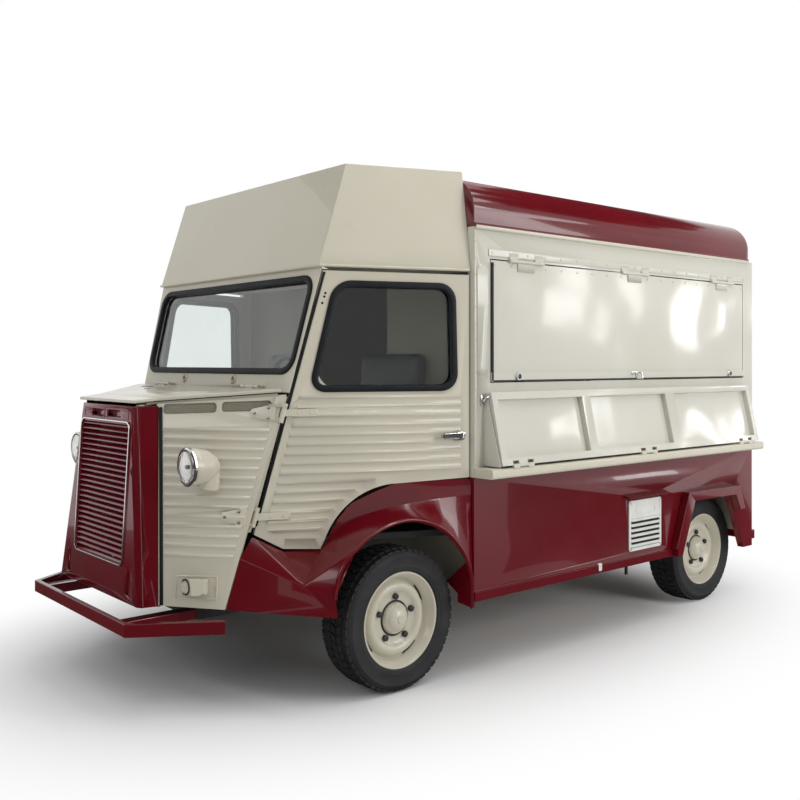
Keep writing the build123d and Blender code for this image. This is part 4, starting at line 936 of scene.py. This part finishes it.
# %% Dials
low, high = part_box("dashboard")
DIALS = board((SEAT_X, high.y, high.z - 0.055), (1, 0, 0), (0, 1, 0.35))
DIAL_RIM = [(0.040, 0.0), (0.040, 0.010), (0.036, 0.012), (0.033, 0.008), (0.033, 0.0)]
DIAL_PLACES = ((-0.05, 0, 0), (0.05, 0, 0))
rims = [turned(DIAL_RIM, 28, at=place) for place in DIAL_PLACES]
faces = [turned([(0.034, 0.003), (0.0, 0.003)], 28, at=place) for place in DIAL_PLACES]
fit("dial_rims", lay(gather(*rims), DIALS), CHROME)
fit("dial_faces", lay(gather(*faces), DIALS), SHADE_AND_DIAL_BLACK)
print("dials", len(rims))

# %% [markdown]
# The stage is a pale floor that fades to plain white before its edge, under a white sky. The sky is white
# for the camera and for mirrors and glass, and gentler for the light that it sheds. Two long lamps hang
# over the serving side as in a workshop, two small ones stand far behind it as windows would, so that the
# enamel has something to mirror, and broad ones fill the side and the front. Dark cards, seen by mirrors
# alone, keep the burgundy deep.

# %% Floor, sky and lamps
def pale_floor():
    bm = bmesh.new()
    bmesh.ops.create_grid(bm, x_segments=1, y_segments=1, size=40)
    mesh = bpy.data.meshes.new("floor")
    bm.to_mesh(mesh)
    bm.free()
    floor = bpy.data.objects.new("floor", mesh)
    bpy.context.scene.collection.objects.link(floor)
    made = Finish("pale_floor", Roughness=0.9, Specular_IOR_Level=0.1)
    made.feed("Base Color", made.ramp(made.noise(0.8, 2), (0.3, grey(0.90)), (0.7, grey(0.93))))
    away = made.node("ShaderNodeVectorMath", operation="LENGTH")
    squeeze = made.node("ShaderNodeMapping")
    squeeze.inputs["Scale"].default_value = (1.0, 0.62, 1.0)
    made.link(made.coords, squeeze.inputs["Vector"])
    made.link(squeeze.outputs["Vector"], away.inputs[0])
    fade = made.node("ShaderNodeMapRange", interpolation_type="SMOOTHSTEP")
    fade.inputs["From Min"].default_value = 1.0
    fade.inputs["From Max"].default_value = 2.0
    made.link(away.outputs["Value"], fade.inputs["Value"])
    glow = made.node("ShaderNodeEmission")
    mix = made.node("ShaderNodeMixShader")
    made.link(fade.outputs["Result"], mix.inputs["Fac"])
    made.link(made.shader.outputs["BSDF"], mix.inputs[1])
    made.link(glow.outputs["Emission"], mix.inputs[2])
    rays = made.node("ShaderNodeLightPath")
    seen = made.node("ShaderNodeMixShader")
    made.link(rays.outputs["Is Diffuse Ray"], seen.inputs["Fac"])
    made.link(mix.outputs["Shader"], seen.inputs[1])
    made.link(made.shader.outputs["BSDF"], seen.inputs[2])
    made.link(seen.outputs["Shader"], made.tree.nodes["Material Output"].inputs["Surface"])
    mesh.materials.append(made.mat)


def white_sky(light):
    world = bpy.data.worlds.new("sky")
    bpy.context.scene.world = world
    world.use_nodes = True
    tree = world.node_tree
    back = tree.nodes["Background"]
    back.inputs["Color"].default_value = (1, 1, 1, 1)
    rays = tree.nodes.new("ShaderNodeLightPath")
    most = rays.outputs["Is Camera Ray"]
    for kind in ("Is Glossy Ray", "Is Transmission Ray"):
        pick = tree.nodes.new("ShaderNodeMath")
        pick.operation = "MAXIMUM"
        tree.links.new(most, pick.inputs[0])
        tree.links.new(rays.outputs[kind], pick.inputs[1])
        most = pick.outputs["Value"]
    strength = tree.nodes.new("ShaderNodeMapRange")
    strength.inputs["To Min"].default_value = light
    strength.inputs["To Max"].default_value = 1.0
    tree.links.new(most, strength.inputs["Value"])
    tree.links.new(strength.outputs["Result"], back.inputs["Strength"])


def lamp(name, place, aim, wide, long, watts):
    data = bpy.data.lights.new(name, "AREA")
    data.shape = "RECTANGLE"
    data.size = wide
    data.size_y = long
    data.energy = watts
    obj = bpy.data.objects.new(name, data)
    bpy.context.scene.collection.objects.link(obj)
    obj.location = place
    obj.rotation_euler = (Vector(aim) - Vector(place)).to_track_quat("-Z", "Y").to_euler()


def flag(name, place, out, wide, tall):
    """A dark card that only mirrors see, as a photographer hangs beside glossy paint."""
    bm = bmesh.new()
    bmesh.ops.create_grid(bm, x_segments=1, y_segments=1, size=0.5)
    bmesh.ops.scale(bm, vec=(wide, tall, 1), verts=bm.verts)
    lay(bm, board(place, Vector((0, 0, 1)).cross(Vector(out)), out))
    mesh = bpy.data.meshes.new(name)
    bm.to_mesh(mesh)
    bm.free()
    card = bpy.data.objects.new(name, mesh)
    bpy.context.scene.collection.objects.link(card)
    mesh.materials.append(DARK_CARD)
    for ray in ("camera", "diffuse", "transmission", "volume_scatter", "shadow"):
        setattr(card, "visible_" + ray, False)


DARK_CARD = grained("dark_card", grey(0.055), grey(0.035), 0.9, 3, 0.0001, 0.6)
pale_floor()
white_sky(0.30)
flag("flag_side", (8.0, -2.5, 2.2), (-1, 0, 0), 11.0, 4.4)
flag("flag_front", (0.5, -8.5, 2.2), (0, 1, 0), 15.0, 4.4)
flag("flag_top", (1.0, 0.5, 8.0), (0.001, 0, -1), 20.0, 20.0)
flag("flag_floor", (1.0, -1.5, 0.004), (0.001, 0, 1), 13.0, 13.0)
lamp("overhead", (0.6, -0.4, 5.6), (0, 0, 1), 4.0, 6.0, 130)
lamp("strip_side", (3.4, 0.6, 4.4), (0.9, 0.5, 1.6), 0.35, 5.0, 38)
lamp("strip_high", (1.7, 0.4, 5.0), (0.9, 0.4, 1.8), 0.30, 5.5, 26)
lamp("side_fill", (6.5, 2.2, 2.4), (1.0, 0.6, 1.3), 3.0, 2.4, 132)
lamp("front_fill", (1.2, -6.2, 3.4), (0.2, -1.0, 1.0), 3.0, 2.0, 48)
lamp("far_window", (4.2, 4.3, 2.15), (1.0, 0.3, 1.75), 0.60, 0.50, 8)
lamp("farther_window", (4.6, 7.7, 2.05), (1.0, 1.5, 1.75), 0.55, 0.45, 8)
print("lamps:", len(bpy.data.lights))

# %% [markdown]
# The camera stands where the photographer stood: in front of the left front corner, at chest height. Its
# place was worked out from the wheels, the ledge and the roof line, which are known in three dimensions.

# %% Camera
CAMERA_PLACE = (3.9908, -3.6123, 1.4497)
CAMERA_TURN = math.radians(50.48)
CAMERA_DIP = 0.003


def photographer():
    data = bpy.data.cameras.new("camera")
    data.sensor_width = 36.0
    data.lens = 42.07
    data.shift_x = 0.0358
    data.shift_y = -0.0501
    obj = bpy.data.objects.new("camera", data)
    bpy.context.scene.collection.objects.link(obj)
    look = Vector((-math.sin(CAMERA_TURN), math.cos(CAMERA_TURN), CAMERA_DIP))
    obj.location = CAMERA_PLACE
    obj.rotation_mode = "QUATERNION"
    obj.rotation_quaternion = look.to_track_quat("-Z", "Y")
    bpy.context.scene.camera = obj


photographer()
bpy.context.scene.view_settings.view_transform = "Standard"
